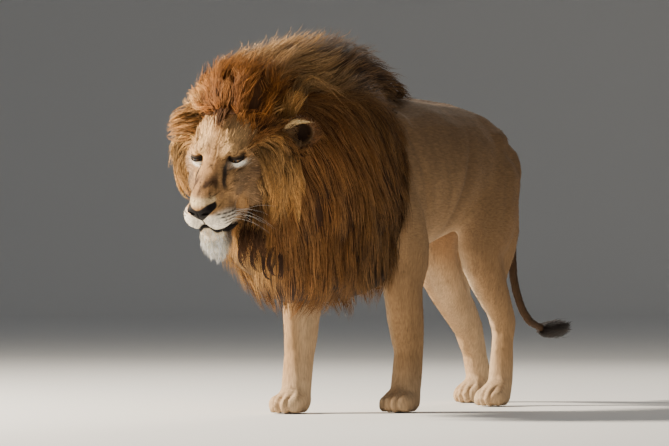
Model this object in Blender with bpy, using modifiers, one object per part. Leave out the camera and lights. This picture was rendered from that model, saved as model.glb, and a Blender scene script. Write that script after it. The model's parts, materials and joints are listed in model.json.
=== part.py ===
"""A life-size male lion, standing in mid stride with its head low, as the parts of its body.

Frame: the lion faces -Y, its left side is +X, +Z is up, and the feet stand on z = 0. Metres.
The flesh is built whole from lofts and muscle masses, fused, smoothed and thinned out, and then
parted by thin cuts into head, neck, trunk, legs and tail. The mane is a second form over it.
"""

import math

import bmesh
import bpy
from mathutils import Matrix, Vector

# --- Driving dimensions ---------------------------------------------------------------------

BACK_HEIGHT = 1.055        # back above the ground, just behind the mane
CHEST_FLOOR = 0.475       # underside of the chest above the ground
CHEST_HALF_WIDTH = 0.195
FORE_TRACK = 0.135        # forefeet, sideways from the middle plane
HIND_TRACK = 0.125        # hindfeet, sideways from the middle plane
EYE_SPACING = 0.137       # between the centres of the eyes
EYE_RADIUS = 0.0215
HEAD_ORIGIN = Vector((-0.066, -1.277, 0.823))   # midway between the eyes
HEAD_PITCH = math.radians(27.0)                 # nose below the level of the tooth row
HEAD_YAW = math.radians(-3.0)                   # towards the lion's right
HEAD_ROLL = math.radians(3.0)                   # left side down

CUT = 0.0003              # half of the gap between two parts
FLESH_VOXEL = 0.009
MANE_VOXEL = 0.014
FLESH_TRIANGLES = 2440
MANE_TRIANGLES = 530
HEAD_FINENESS = 0.05      # how much finer the head's triangles are than the body's

FUR = (0.56, 0.38, 0.21, 1.0)
PALE_FUR = (0.74, 0.62, 0.46, 1.0)
MANE_RED = (0.33, 0.15, 0.055, 1.0)
MANE_DARK = (0.12, 0.06, 0.03, 1.0)
NOSE_SKIN = (0.06, 0.035, 0.03, 1.0)
EYE_AMBER = (0.30, 0.15, 0.03, 1.0)


# --- Small tools ----------------------------------------------------------------------------


def clear_scene():
    for old in list(bpy.data.objects):
        bpy.data.objects.remove(old, do_unlink=True)


def collection(name):
    made = bpy.data.collections.new(name)
    bpy.context.scene.collection.children.link(made)
    return made


def material(name, colour, roughness=0.85):
    made = bpy.data.materials.new(name)
    made.use_nodes = True
    shader = made.node_tree.nodes["Principled BSDF"]
    shader.inputs["Base Color"].default_value = colour
    shader.inputs["Roughness"].default_value = roughness
    shader.inputs["Metallic"].default_value = 0.0
    made.diffuse_color = colour
    return made


def catmull(a, b, c, d, t):
    """The smooth curve from b to c at t, with a and d as its neighbours."""
    return 0.5 * (
        2 * b + (c - a) * t + (2 * a - 5 * b + 4 * c - d) * t * t + (3 * b - a - 3 * c + d) * t ** 3
    )


def smooth_stations(stations, steps):
    """Stations of (x, y, z, half width, half height), with more of them in between."""
    rows = [Vector(s) for s in stations]
    rows = [2 * rows[0] - rows[1]] + rows + [2 * rows[-1] - rows[-2]]
    made = []
    for i in range(1, len(rows) - 2):
        for k in range(steps):
            made.append(catmull(rows[i - 1], rows[i], rows[i + 1], rows[i + 2], k / steps))
    made.append(rows[-2])
    return made


def loft(bm, stations, steps=4, sides=20, place=None):
    """A round-ended tube through oval sections, which stand square to its path."""
    place = place or Matrix.Identity(4)
    rows = smooth_stations(stations, steps)
    points = [Vector(r[:3]) for r in rows]
    first, last = (points[1] - points[0]).normalized(), (points[-1] - points[-2]).normalized()
    rings = []
    for angle in (80, 55, 28):
        c, s = math.cos(math.radians(angle)), math.sin(math.radians(angle))
        wide, high = rows[0][3], rows[0][4]
        rings.append((points[0] - first * high * 0.7 * s, wide * c, high * c, first))
    for i, row in enumerate(rows):
        before, after = points[max(i - 1, 0)], points[min(i + 1, len(points) - 1)]
        rings.append((points[i], row[3], row[4], (after - before).normalized()))
    for angle in (28, 55, 80):
        c, s = math.cos(math.radians(angle)), math.sin(math.radians(angle))
        wide, high = rows[-1][3], rows[-1][4]
        rings.append((points[-1] + last * high * 0.7 * s, wide * c, high * c, last))
    loops = []
    for centre, wide, high, along in rings:
        side = (Vector((1, 0, 0)) - along * along.x).normalized()
        up = side.cross(along)
        loop = []
        for k in range(sides):
            turn = 2 * math.pi * k / sides
            loop.append(bm.verts.new(
                place @ (centre + side * wide * math.cos(turn) + up * high * math.sin(turn))
            ))
        loops.append(loop)
    for one, two in zip(loops, loops[1:]):
        for k in range(sides):
            bm.faces.new((one[k], one[(k + 1) % sides], two[(k + 1) % sides], two[k]))
    bm.faces.new(loops[0][::-1])
    bm.faces.new(loops[-1])


def mass(bm, centre, radii, turn=(0, 0, 0), place=None, mirrored=False):
    """An ellipsoid of muscle. turn is in degrees about X, Y and Z; mirrored adds its twin at -X."""
    place = place or Matrix.Identity(4)
    for flip in (1, -1) if mirrored else (1,):
        rx, ry, rz = (math.radians(a) for a in turn)
        matrix = (
            place
            @ Matrix.Translation((centre[0] * flip, centre[1], centre[2]))
            @ Matrix.Rotation(rz * flip, 4, "Z")
            @ Matrix.Rotation(ry * flip, 4, "Y")
            @ Matrix.Rotation(rx, 4, "X")
            @ Matrix.Diagonal((*radii, 1.0))
        )
        bmesh.ops.create_uvsphere(bm, u_segments=20, v_segments=12, radius=1.0, matrix=matrix)


def as_object(bm, name, group):
    bmesh.ops.recalc_face_normals(bm, faces=bm.faces)
    mesh = bpy.data.meshes.new(name)
    bm.to_mesh(mesh)
    bm.free()
    made = bpy.data.objects.new(name, mesh)
    group.objects.link(made)
    return made


def bake_modifiers(obj):
    """The object's mesh becomes what its modifiers make of it."""
    bpy.context.view_layer.update()
    graph = bpy.context.evaluated_depsgraph_get()
    mesh = bpy.data.meshes.new_from_object(obj.evaluated_get(graph))
    obj.modifiers.clear()
    old = obj.data
    obj.data = mesh
    bpy.data.meshes.remove(old)
    return obj


def fuse(obj, voxel, smoothing, triangles, fine=None):
    """One closed smooth skin round all the overlapping shapes, thinned to a number of triangles.

    fine says how finely a point's surroundings are kept, from 0 to 1."""
    remesh = obj.modifiers.new("fuse", "REMESH")
    remesh.mode = "VOXEL"
    remesh.voxel_size = voxel
    soften = obj.modifiers.new("soften", "SMOOTH")
    soften.factor = 0.5
    soften.iterations = smoothing
    bake_modifiers(obj)
    if fine:
        group = obj.vertex_groups.new(name="plain")
        for vertex in obj.data.vertices:
            group.add([vertex.index], 1.0 - fine(vertex.co), "REPLACE")
    thin = obj.modifiers.new("thin", "DECIMATE")
    thin.ratio = triangles / (2 * len(obj.data.polygons))
    thin.use_collapse_triangulate = True
    if fine:
        thin.vertex_group = "plain"
        thin.vertex_group_factor = 1.0
    return bake_modifiers(obj)


def swollen(obj, name, by, group):
    """A cutter: a copy of obj whose skin stands out by a little."""
    copy = bpy.data.objects.new(name, obj.data.copy())
    group.objects.link(copy)
    copy.matrix_world = obj.matrix_world
    bm = bmesh.new()
    bm.from_mesh(copy.data)
    bm.normal_update()
    for vertex in bm.verts:
        vertex.co += vertex.normal * by * vertex.calc_shell_factor()
    bm.to_mesh(copy.data)
    bm.free()
    hide(copy)
    return copy


def hide(cutter):
    cutter.hide_render = True
    cutter.display_type = "WIRE"


def boolean(obj, other, operation):
    step = obj.modifiers.new("cut", "BOOLEAN")
    step.operation = operation
    step.object = other
    return bake_modifiers(obj)


def keep_largest(obj):
    """Drops the crumbs that a cut can leave beside the main body."""
    bm = bmesh.new()
    bm.from_mesh(obj.data)
    bmesh.ops.remove_doubles(bm, verts=bm.verts, dist=1e-6)
    todo, bodies = set(bm.faces), []
    while todo:
        body, edge = set(), [todo.pop()]
        while edge:
            face = edge.pop()
            body.add(face)
            for link in face.edges:
                for near in link.link_faces:
                    if near in todo:
                        todo.remove(near)
                        edge.append(near)
        bodies.append(body)
    bodies.sort(key=lambda b: -sum(f.calc_area() for f in b))
    crumbs = [f for body in bodies[1:] for f in body]
    bmesh.ops.delete(bm, geom=crumbs, context="FACES")
    bm.to_mesh(obj.data)
    bm.free()
    return obj


def half(obj, name, point, normal, group):
    """The part of obj on the side that normal points away from, closed where it was cut."""
    normal = Vector(normal).normalized()
    bm = bmesh.new()
    bm.from_mesh(obj.data)
    bmesh.ops.bisect_plane(
        bm,
        geom=bm.verts[:] + bm.edges[:] + bm.faces[:],
        dist=1e-7,
        plane_co=Vector(point) - normal * CUT,
        plane_no=normal,
        clear_outer=True,
    )
    rim = [e for e in bm.edges if e.is_boundary]
    bmesh.ops.holes_fill(bm, edges=rim, sides=0)
    bmesh.ops.triangulate(bm, faces=[f for f in bm.faces if len(f.verts) > 4])
    made = as_object(bm, name, group)
    made.data.materials.clear()
    for slot in obj.data.materials:
        made.data.materials.append(slot)
    return keep_largest(made)


def part_in_two(obj, names, point, normal, group):
    """obj is replaced by its two halves: the first lies on the side that normal points to."""
    ahead = half(obj, names[0], point, -Vector(normal), group)
    behind = half(obj, names[1], point, normal, group)
    bpy.data.objects.remove(obj)
    return ahead, behind


def region(name, planes, group, grow=0.0):
    """A convex cutter: all that lies behind every plane of (point, outward normal)."""
    bm = bmesh.new()
    bmesh.ops.create_cube(bm, size=6.0)
    for point, normal in planes:
        normal = Vector(normal).normalized()
        bmesh.ops.bisect_plane(
            bm,
            geom=bm.verts[:] + bm.edges[:] + bm.faces[:],
            plane_co=Vector(point) + normal * (grow - CUT),
            plane_no=normal,
            clear_outer=True,
        )
        bmesh.ops.holes_fill(bm, edges=[e for e in bm.edges if e.is_boundary], sides=0)
    made = as_object(bm, name, group)
    hide(made)
    return made


def piece_in(source, name, planes, group, cutters):
    """What source holds inside a region, as an object of its own, and the region a gap larger."""
    made = bpy.data.objects.new(name, source.data.copy())
    group.objects.link(made)
    inner = region(name + "_region", planes, cutters)
    boolean(made, inner, "INTERSECT")
    return keep_largest(made), region(name + "_room", planes, cutters, grow=2 * CUT)


# --- The lion's places ----------------------------------------------------------------------


def head_matrix():
    """The head's own axes: +Y forward to the nose, +X to the lion's right, +Z to the crown."""
    facing = Matrix.Rotation(math.pi - HEAD_YAW, 4, "Z")
    nod = Matrix.Rotation(-HEAD_PITCH, 4, "X")
    tilt = Matrix.Rotation(-HEAD_ROLL, 4, "Y")
    return Matrix.Translation(HEAD_ORIGIN) @ facing @ nod @ tilt


HEAD = head_matrix()


def fore_leg(bm, side, shoulder_y, elbow_y, foot_y):
    """side is +1 for the left. The paw points forward, and the foot is flat under the wrist."""
    x = side * FORE_TRACK
    loft(bm, [
        (side * 0.135, shoulder_y, 0.80, 0.060, 0.145),
        (side * 0.150, (shoulder_y + elbow_y) / 2, 0.66, 0.066, 0.135),
        (side * 0.148, elbow_y, 0.53, 0.068, 0.112),
        (x, elbow_y - 0.005, 0.42, 0.064, 0.100),
        (x, (elbow_y + foot_y) / 2, 0.31, 0.060, 0.086),
        (x, foot_y + 0.010, 0.21, 0.050, 0.068),
        (x, foot_y, 0.135, 0.050, 0.062),
        (x, foot_y - 0.010, 0.080, 0.054, 0.058),
    ])
    paw(bm, x, foot_y - 0.045, 0.063, 0.092)


def hind_leg(bm, side, hip, knee, hock, foot_y):
    """hip, knee and hock are (y, z) of the joints' middles."""
    x = side * HIND_TRACK
    thigh = ((hip[0] + knee[0]) / 2, (hip[1] + knee[1]) / 2)
    shank = ((knee[0] + hock[0]) / 2, (knee[1] + hock[1]) / 2)
    loft(bm, [
        (side * 0.105, hip[0], hip[1], 0.085, 0.130),
        (side * 0.122, thigh[0] + 0.02, thigh[1], 0.080, 0.150),
        (side * 0.128, knee[0] + 0.03, knee[1] + 0.01, 0.070, 0.110),
        (x, shank[0], shank[1] + 0.005, 0.056, 0.088),
        (x, hock[0] - 0.045, hock[1] + 0.035, 0.046, 0.070),
        (x, hock[0] - 0.015, hock[1] - 0.03, 0.042, 0.058),
    ])
    # The hamstrings run from the seat down the back of the thigh.
    loft(bm, [
        (side * 0.085, hip[0] + 0.085, hip[1] - 0.01, 0.062, 0.070),
        (side * 0.112, (hip[0] + shank[0]) / 2 + 0.075, (hip[1] + shank[1]) / 2, 0.062, 0.075),
        (side * 0.120, shank[0] + 0.045, shank[1] + 0.035, 0.044, 0.050),
    ])
    # Heel, and the long foot down to the toes.
    mass(bm, (x, hock[0] + 0.012, hock[1] + 0.008), (0.030, 0.034, 0.042))
    foot_top = (foot_y + 0.022, 0.085)
    loft(bm, [
        (x, hock[0] - 0.01, hock[1], 0.041, 0.058),
        (x, (hock[0] + foot_top[0]) / 2 - 0.008, (hock[1] + foot_top[1]) / 2, 0.041, 0.053),
        (x, foot_top[0], foot_top[1], 0.046, 0.050),
        (x, foot_y, 0.060, 0.050, 0.040),
    ])
    paw(bm, x, foot_y - 0.030, 0.057, 0.086)


def paw(bm, x, y, half_width, half_length):
    """A broad cat's foot: a domed body and four toes. Its sole is cut flat at the ground later."""
    mass(bm, (x, y + 0.015, 0.038), (half_width * 0.92, half_length * 0.85, 0.052))
    for spread, reach in ((-0.68, 0.36), (-0.25, 0.58), (0.25, 0.58), (0.68, 0.36)):
        toe = (x + spread * half_width, y - reach * half_length, 0.028)
        mass(bm, toe, (half_width * 0.31, half_length * 0.44, 0.038), turn=(12, 0, 0))


def trunk(bm):
    wide = CHEST_HALF_WIDTH
    rows = (
        # y, top, bottom, half width
        (-0.66, 0.975, 0.560, 0.140),
        (-0.56, 1.005, 0.485, 0.178),
        (-0.40, 1.025, CHEST_FLOOR, wide),
        (-0.20, BACK_HEIGHT + 0.004, 0.520, wide + 0.003),
        (0.00, BACK_HEIGHT, 0.575, wide - 0.004),
        (0.16, BACK_HEIGHT - 0.012, 0.615, wide - 0.022),
        (0.30, 0.990, 0.650, wide - 0.048),
        (0.40, 0.935, 0.680, wide - 0.078),
    )
    loft(bm, [(0, y, (t + b) / 2, w, (t - b) / 2) for y, t, b, w in rows], sides=28)
    # Shoulder blades, the hip's crest, the loin muscles and the rump.
    mass(bm, (0.100, -0.44, 0.87), (0.065, 0.13, 0.135), turn=(-20, 0, 0), mirrored=True)
    mass(bm, (0.082, 0.27, 0.895), (0.075, 0.12, 0.082), turn=(12, 0, 0), mirrored=True)
    mass(bm, (0.080, 0.375, 0.815), (0.080, 0.105, 0.115), mirrored=True)
    mass(bm, (0.060, 0.10, 0.965), (0.065, 0.25, 0.060), mirrored=True)
    # The loose fold of skin from the belly to the thigh.
    mass(bm, (0.105, 0.10, 0.665), (0.050, 0.13, 0.055), turn=(-20, 0, 0), mirrored=True)


NECK_PATH = (
    # x, y, z, half width, half height
    (0.000, -0.52, 0.800, 0.155, 0.195),
    (-0.010, -0.68, 0.830, 0.140, 0.175),
    (-0.030, -0.84, 0.865, 0.130, 0.155),
    (-0.045, -0.98, 0.895, 0.124, 0.140),
    (-0.058, -1.09, 0.905, 0.116, 0.125),
)
TAIL_PATH = (
    # x, y, z, thickness
    (0.000, 0.400, 0.880, 0.040),
    (0.002, 0.465, 0.840, 0.032),
    (0.010, 0.530, 0.735, 0.025),
    (0.017, 0.575, 0.640, 0.021),
    (0.024, 0.588, 0.540, 0.0185),
    (0.030, 0.590, 0.443, 0.0175),
    (0.040, 0.613, 0.359, 0.017),
    (0.050, 0.670, 0.292, 0.017),
    (0.058, 0.775, 0.260, 0.0175),
)
TUFT_PATH = (
    (0.058, 0.780, 0.259, 0.0170),
    (0.063, 0.840, 0.258, 0.0215),
    (0.069, 0.900, 0.262, 0.0245),
    (0.074, 0.945, 0.267, 0.0165),
)


def head(bm):
    """Every place here is in the head's own axes, from midway between the eyes."""
    def lump(centre, radii, turn=(0, 0, 0), mirrored=False):
        mass(bm, centre, radii, turn, HEAD, mirrored)

    # Braincase, forehead, brows and the roots of the ears.
    lump((0, -0.130, 0.006), (0.128, 0.130, 0.104))
    lump((0, -0.045, 0.026), (0.086, 0.084, 0.054), turn=(-24, 0, 0))
    lump((0.062, -0.006, 0.029), (0.040, 0.038, 0.016), turn=(-8, 14, -24), mirrored=True)
    lump((0.142, -0.160, 0.012), (0.045, 0.042, 0.044), mirrored=True)
    # Bridge of the nose, from between the eyes to the tip.
    loft(bm, [
        (0, -0.010, -0.010, 0.050, 0.050),
        (0, 0.045, -0.034, 0.048, 0.048),
        (0, 0.100, -0.062, 0.048, 0.046),
        (0, 0.142, -0.084, 0.049, 0.040),
        (0, 0.160, -0.096, 0.044, 0.030),
    ], place=HEAD)
    # Upper jaw, whisker pads and the flesh under the eyes.
    lump((0, 0.055, -0.108), (0.070, 0.105, 0.062))
    lump((0.040, 0.118, -0.140), (0.046, 0.064, 0.044), turn=(-4, 0, 8), mirrored=True)
    lump((0.066, 0.018, -0.066), (0.040, 0.066, 0.046), turn=(-22, 0, 10), mirrored=True)
    # Cheekbones and jaw muscles.
    lump((0.096, -0.075, -0.050), (0.054, 0.090, 0.066), turn=(0, 0, 12), mirrored=True)
    lump((0.080, -0.085, -0.136), (0.052, 0.092, 0.072), mirrored=True)
    # Lower jaw, chin and the beard that hangs from it.
    lump((0, 0.010, -0.192), (0.062, 0.115, 0.046))
    lump((0, 0.116, -0.208), (0.047, 0.050, 0.038))
    lump((0, 0.108, -0.250), (0.052, 0.050, 0.056), turn=(20, 0, 0))
    # Throat.
    lump((0, -0.135, -0.125), (0.102, 0.115, 0.090))


def build_flesh(cutters):
    bm = bmesh.new()
    trunk(bm)
    loft(bm, NECK_PATH)
    head(bm)
    loft(bm, [(x, y, z, r, r) for x, y, z, r in TAIL_PATH[:3]], sides=14)
    fore_leg(bm, 1, -0.560, -0.425, -0.400)
    fore_leg(bm, -1, -0.600, -0.610, -0.655)
    hind_leg(bm, 1, (0.300, 0.79), (0.110, 0.525), (0.340, 0.300), 0.275)
    hind_leg(bm, -1, (0.320, 0.79), (0.265, 0.500), (0.575, 0.240), 0.600)
    flesh = as_object(bm, "flesh", cutters)

    def fine(point):
        local = HEAD.inverted() @ point
        return HEAD_FINENESS if local.y > -0.06 and point.z > 0.5 else 0.0

    fuse(flesh, FLESH_VOXEL, 9, FLESH_TRIANGLES, fine)
    hide(flesh)
    return flesh


MANE_BULK = (
    # x, y, z, half width, half height
    (-0.064, -1.085, 0.865, 0.225, 0.235),
    (-0.054, -1.000, 0.840, 0.252, 0.305),
    (-0.022, -0.900, 0.800, 0.272, 0.370),
    (0.000, -0.740, 0.780, 0.285, 0.410),
    (0.000, -0.600, 0.790, 0.248, 0.385),
    (0.000, -0.490, 0.820, 0.182, 0.290),
)
MANE_CREST = (
    (-0.062, -1.165, 1.045, 0.150, 0.095),
    (-0.042, -1.000, 1.090, 0.145, 0.105),
    (-0.010, -0.800, 1.120, 0.140, 0.120),
    (0.000, -0.600, 1.118, 0.135, 0.112),
    (0.000, -0.410, 1.078, 0.108, 0.078),
    (0.000, -0.240, 1.052, 0.070, 0.034),
)


def build_mane(group):
    """The mane's outer form, before the flesh is taken out of it."""
    bm = bmesh.new()
    loft(bm, MANE_BULK, sides=26)
    loft(bm, MANE_CREST)
    # The crown with its forelock, and the ruff beside each cheek.
    mass(bm, (0, -0.180, 0.105), (0.180, 0.105, 0.090), place=HEAD)
    mass(bm, (0.158, -0.160, -0.085), (0.092, 0.088, 0.175), place=HEAD, mirrored=True)
    # The throat's fringe and the bib under the chest.
    mass(bm, (-0.045, -1.040, 0.620), (0.160, 0.150, 0.205), turn=(-12, 0, 0))
    mass(bm, (-0.010, -0.860, 0.475), (0.205, 0.220, 0.145))
    mass(bm, (0.000, -0.640, 0.475), (0.225, 0.150, 0.130))
    mane = as_object(bm, "mane", group)
    fuse(mane, MANE_VOXEL, 20, MANE_TRIANGLES)
    hide(mane)
    return mane


# --- Small pieces ---------------------------------------------------------------------------


def build_eye(side, group):
    bm = bmesh.new()
    centre = HEAD @ Vector((-side * EYE_SPACING / 2, 0, 0))
    bmesh.ops.create_uvsphere(bm, u_segments=12, v_segments=8, radius=EYE_RADIUS,
                              matrix=Matrix.Translation(centre))
    return as_object(bm, "eye_left" if side > 0 else "eye_right", group)


def build_nose(group):
    """The bare nose pad: a broad top, two flared wings and the stem above the lip."""
    bm = bmesh.new()
    mass(bm, (0, 0.178, -0.094), (0.042, 0.020, 0.016), turn=(-30, 0, 0), place=HEAD)
    mass(bm, (0.030, 0.172, -0.101), (0.019, 0.021, 0.014), turn=(-20, 0, -20), place=HEAD,
         mirrored=True)
    mass(bm, (0, 0.180, -0.114), (0.017, 0.014, 0.020), turn=(-12, 0, 0), place=HEAD)
    nose = as_object(bm, "nose", group)
    return fuse(nose, 0.0025, 4, 220)


EAR_CENTRE = Vector((0.208, -0.162, 0.012))   # in the head's axes, for the ear at +X
EAR_RADII = (0.052, 0.030, 0.046)             # half length, half depth and half width
EAR_WALL = 0.008


def ear_place(side):
    return (
        HEAD
        @ Matrix.Translation((-side * EAR_CENTRE.x, EAR_CENTRE.y, EAR_CENTRE.z))
        @ Matrix.Rotation(math.radians(34 * side), 4, "Z")
        @ Matrix.Rotation(math.radians(8 * side), 4, "Y")
    )


def build_ear(side, group):
    """A cupped shell, open forwards and outwards."""
    bm = bmesh.new()
    bmesh.ops.create_uvsphere(bm, u_segments=20, v_segments=12, radius=1.0)
    front = [v for v in bm.verts if v.co.y > 0.05]
    bmesh.ops.delete(bm, geom=front, context="VERTS")
    bm.transform(ear_place(side) @ Matrix.Diagonal((*EAR_RADII, 1.0)))
    ear = as_object(bm, "ear_left" if side > 0 else "ear_right", group)
    wall = ear.modifiers.new("wall", "SOLIDIFY")
    wall.thickness = EAR_WALL
    wall.offset = 0.0
    soften = ear.modifiers.new("soften", "REMESH")
    soften.mode = "VOXEL"
    soften.voxel_size = 0.003
    bake_modifiers(ear)
    thin = ear.modifiers.new("thin", "DECIMATE")
    thin.ratio = 170 / (2 * len(ear.data.polygons))
    thin.use_collapse_triangulate = True
    return bake_modifiers(ear)


def ear_room(side, group):
    """The hollow that an ear and the air in its cup need in the mane."""
    bm = bmesh.new()
    grown = [r + EAR_WALL / 2 + 0.003 for r in EAR_RADII]
    bmesh.ops.create_uvsphere(bm, u_segments=12, v_segments=7, radius=1.0,
                              matrix=ear_place(side) @ Matrix.Diagonal((*grown, 1.0)))
    room = as_object(bm, "ear_left_hollow" if side > 0 else "ear_right_hollow", group)
    hide(room)
    return room


def build_tail(group):
    bm = bmesh.new()
    loft(bm, [(x, y, z, r, r) for x, y, z, r in TAIL_PATH], steps=2, sides=7)
    return as_object(bm, "tail", group)


def build_tuft(group):
    bm = bmesh.new()
    loft(bm, [(x, y, z, r, r) for x, y, z, r in TUFT_PATH], steps=2, sides=8)
    return as_object(bm, "tail_tuft", group)


# --- Parting the flesh ----------------------------------------------------------------------


def leg_planes(side, inner, outer, front, back):
    """The convex region of a leg. inner and outer are (|x|, z) of the slanting cut into the trunk;
    front and back are pairs of (y, z), low then high."""
    slant = Vector((-side * (outer[1] - inner[1]), 0, outer[0] - inner[0]))
    planes = [
        ((side * inner[0], 0, inner[1]), slant),
        ((0, 0, 0), (-side, 0, 0)),
    ]
    for (low, high), sign in ((front, -1), (back, 1)):
        run = Vector((0, high[0] - low[0], high[1] - low[1]))
        planes.append(((0, low[0], low[1]), sign * Vector((0, run.z, -run.y))))
    return planes


def head_point(x, y, z):
    return HEAD @ Vector((x, y, z))


def head_way(x, y, z):
    return HEAD.to_3x3() @ Vector((x, y, z))


LEGS = {
    # name: side, inner, outer, front and back, as leg_planes takes them
    "foreleg_left": (1, (0.060, 0.50), (0.220, 0.79), ((-0.59, 0.45), (-0.62, 0.80)),
                     ((-0.285, 0.45), (-0.250, 0.80))),
    "foreleg_right": (-1, (0.060, 0.50), (0.220, 0.79), ((-0.85, 0.45), (-0.85, 0.80)),
                      ((-0.455, 0.45), (-0.380, 0.80))),
    "hindleg_left": (1, (0.045, 0.590), (0.210, 0.930), ((-0.045, 0.50), (0.140, 0.93)),
                     ((0.483, 0.20), (0.483, 0.90))),
    "hindleg_right": (-1, (0.045, 0.590), (0.210, 0.930), ((-0.030, 0.50), (0.150, 0.93)),
                      ((0.900, 0.20), (0.900, 0.90))),
}
LENGTHS = {
    # kind: the names of its three lengths, with the heights of the cuts between them
    "foreleg": ("upper_arm", 0.475, "forearm", 0.125, "forepaw"),
    "hindleg": ("thigh", 0.440, "shank", 0.235, "hindfoot"),
}


def part_leg(flesh, name, group, cutters):
    """The leg as three lengths, and the room that it leaves in the trunk."""
    side, inner, outer, front, back = LEGS[name]
    leg, room = piece_in(flesh, name, leg_planes(side, inner, outer, front, back), group, cutters)
    kind, hand = name.split("_")
    high, upper_cut, middle, lower_cut, low = LENGTHS[kind]
    top, rest = part_in_two(leg, (f"{high}_{hand}", "rest"), (0, 0, upper_cut), (0, 0, 1), group)
    mid, foot = part_in_two(rest, (f"{middle}_{hand}", f"{low}_{hand}"), (0, 0, lower_cut),
                            (0, 0, 1), group)
    return [top, mid, foot], room


def part_flesh(flesh, group, cutters):
    """Cuts the whole flesh into named parts. Returns them by name."""
    face_back = (head_point(0, -0.175, 0), head_way(0, -1, 0))
    neck_back = ((0, -0.655, 0.90), (0, 0.86, 0.51))
    keep_high = ((0, 0, 0.50), (0, 0, -1))
    parts, rooms = [], []
    for name in LEGS:
        lengths, room = part_leg(flesh, name, group, cutters)
        parts += lengths
        rooms.append(room)
    head_piece, room = piece_in(flesh, "head", [face_back, keep_high], group, cutters)
    rooms.append(room)
    head_front = (face_back[0], -Vector(face_back[1]))
    neck_piece, room = piece_in(
        flesh, "neck", [head_front, neck_back, keep_high], group, cutters)
    for leg_room in rooms[:len(LEGS)]:
        boolean(neck_piece, leg_room, "DIFFERENCE")
    keep_largest(neck_piece)
    rooms.append(room)
    body = bpy.data.objects.new("trunk", flesh.data.copy())
    group.objects.link(body)
    for room in rooms:
        boolean(body, room, "DIFFERENCE")
    keep_largest(body)
    # The lower jaw, under the line of the lips.
    mouth = [
        (head_point(0, 0.16, -0.178), head_way(0, -0.16, 1)),
        (head_point(0, 0.010, 0), head_way(0, -1, 0)),
    ]
    jaw, room = piece_in(head_piece, "lower_jaw", mouth, group, cutters)
    boolean(head_piece, room, "DIFFERENCE")
    keep_largest(head_piece)
    return {piece.name: piece for piece in parts + [head_piece, neck_piece, body, jaw]}


def level_soles(flesh, cutters):
    """Cuts the feet flat at the ground."""
    above = region("ground", [((0, 0, CUT), (0, 0, -1))], cutters)
    boolean(flesh, above, "INTERSECT")
    keep_largest(flesh)


def finish(obj, finish_material):
    obj.data.materials.clear()
    obj.data.materials.append(finish_material)
    obj.data.shade_smooth()
    obj.data.set_sharp_from_angle(angle=math.radians(50))


def part_mane(mane, group, cutters):
    """On each side a ruff about the face, the length on the neck and the bib under it."""
    ruff = head_point(0, -0.215, 0)
    made = []
    for hand, side in (("left", 1), ("right", -1)):
        this_side = ((-0.02, 0, 0), (-side, 0, 0))
        above = ((0, -0.80, 0.60), (0, 0.15, -1))
        lengths = {
            f"mane_ruff_{hand}": [above, (ruff, head_way(0, -1, 0))],
            f"mane_neck_{hand}": [above, (ruff, head_way(0, 1, 0))],
            f"mane_bib_{hand}": [((0, -0.80, 0.60), (0, -0.15, 1))],
        }
        for name, planes in lengths.items():
            made.append(piece_in(mane, name, [this_side] + planes, group, cutters)[0])
    return made


def stand_on_origin(pieces):
    """Moves the whole so that the middle of the bottom of its box is the origin."""
    corners = [v.co for piece in pieces for v in piece.data.vertices]
    low = Vector([min(c[i] for c in corners) for i in range(3)])
    high = Vector([max(c[i] for c in corners) for i in range(3)])
    shift = Matrix.Translation((-(low.x + high.x) / 2, -(low.y + high.y) / 2, -low.z))
    for piece in pieces:
        piece.data.transform(shift)


def main():
    clear_scene()
    lion = collection("lion")
    cutters = collection("cutters")
    cutters.hide_render = True
    flesh = build_flesh(cutters)
    level_soles(flesh, cutters)
    mane = build_mane(cutters)

    eyes = [build_eye(side, lion) for side in (1, -1)]
    ears = [build_ear(side, lion) for side in (1, -1)]
    nose = build_nose(lion)
    tail = build_tail(lion)
    tuft = build_tuft(lion)

    body_room = swollen(flesh, "flesh_room", 2 * CUT, cutters)
    boolean(tail, swollen(tuft, "tuft_room", 2 * CUT, cutters), "DIFFERENCE")
    for piece in ears + [tail]:
        boolean(piece, body_room, "DIFFERENCE")
        keep_largest(piece)
    for side in (1, -1):
        boolean(mane, ear_room(side, cutters), "DIFFERENCE")
    boolean(mane, body_room, "DIFFERENCE")
    keep_largest(mane)
    locks = part_mane(mane, lion, cutters)

    parts = part_flesh(flesh, lion, cutters)
    for piece in eyes + [nose]:
        boolean(parts["head"], swollen(piece, piece.name + "_room", 2 * CUT, cutters), "DIFFERENCE")
    keep_largest(parts["head"])

    fur = material("short_fur", FUR)
    pale = material("pale_fur", PALE_FUR)
    red = material("mane_hair", MANE_RED)
    dark = material("dark_hair", MANE_DARK)
    for piece in list(parts.values()) + ears + [tail]:
        finish(piece, pale if piece.name == "lower_jaw" else fur)
    for lock in locks:
        finish(lock, red)
    finish(tuft, dark)
    finish(nose, material("nose_skin", NOSE_SKIN, 0.5))
    for eye in eyes:
        finish(eye, material("eye", EYE_AMBER, 0.1))
    stand_on_origin(list(lion.objects))


main()
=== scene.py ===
"""The lion's looks: one skin over the flesh, its coat and mane of mesh locks, eyes and whiskers.

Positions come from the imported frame: the head's axes from its eyes and nose, and the rest from the
design's own axes, found from where its eyes are.
"""

import json
import math

import bmesh
import bpy
import numpy as np
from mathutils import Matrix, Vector
from mathutils.bvhtree import BVHTree

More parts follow.
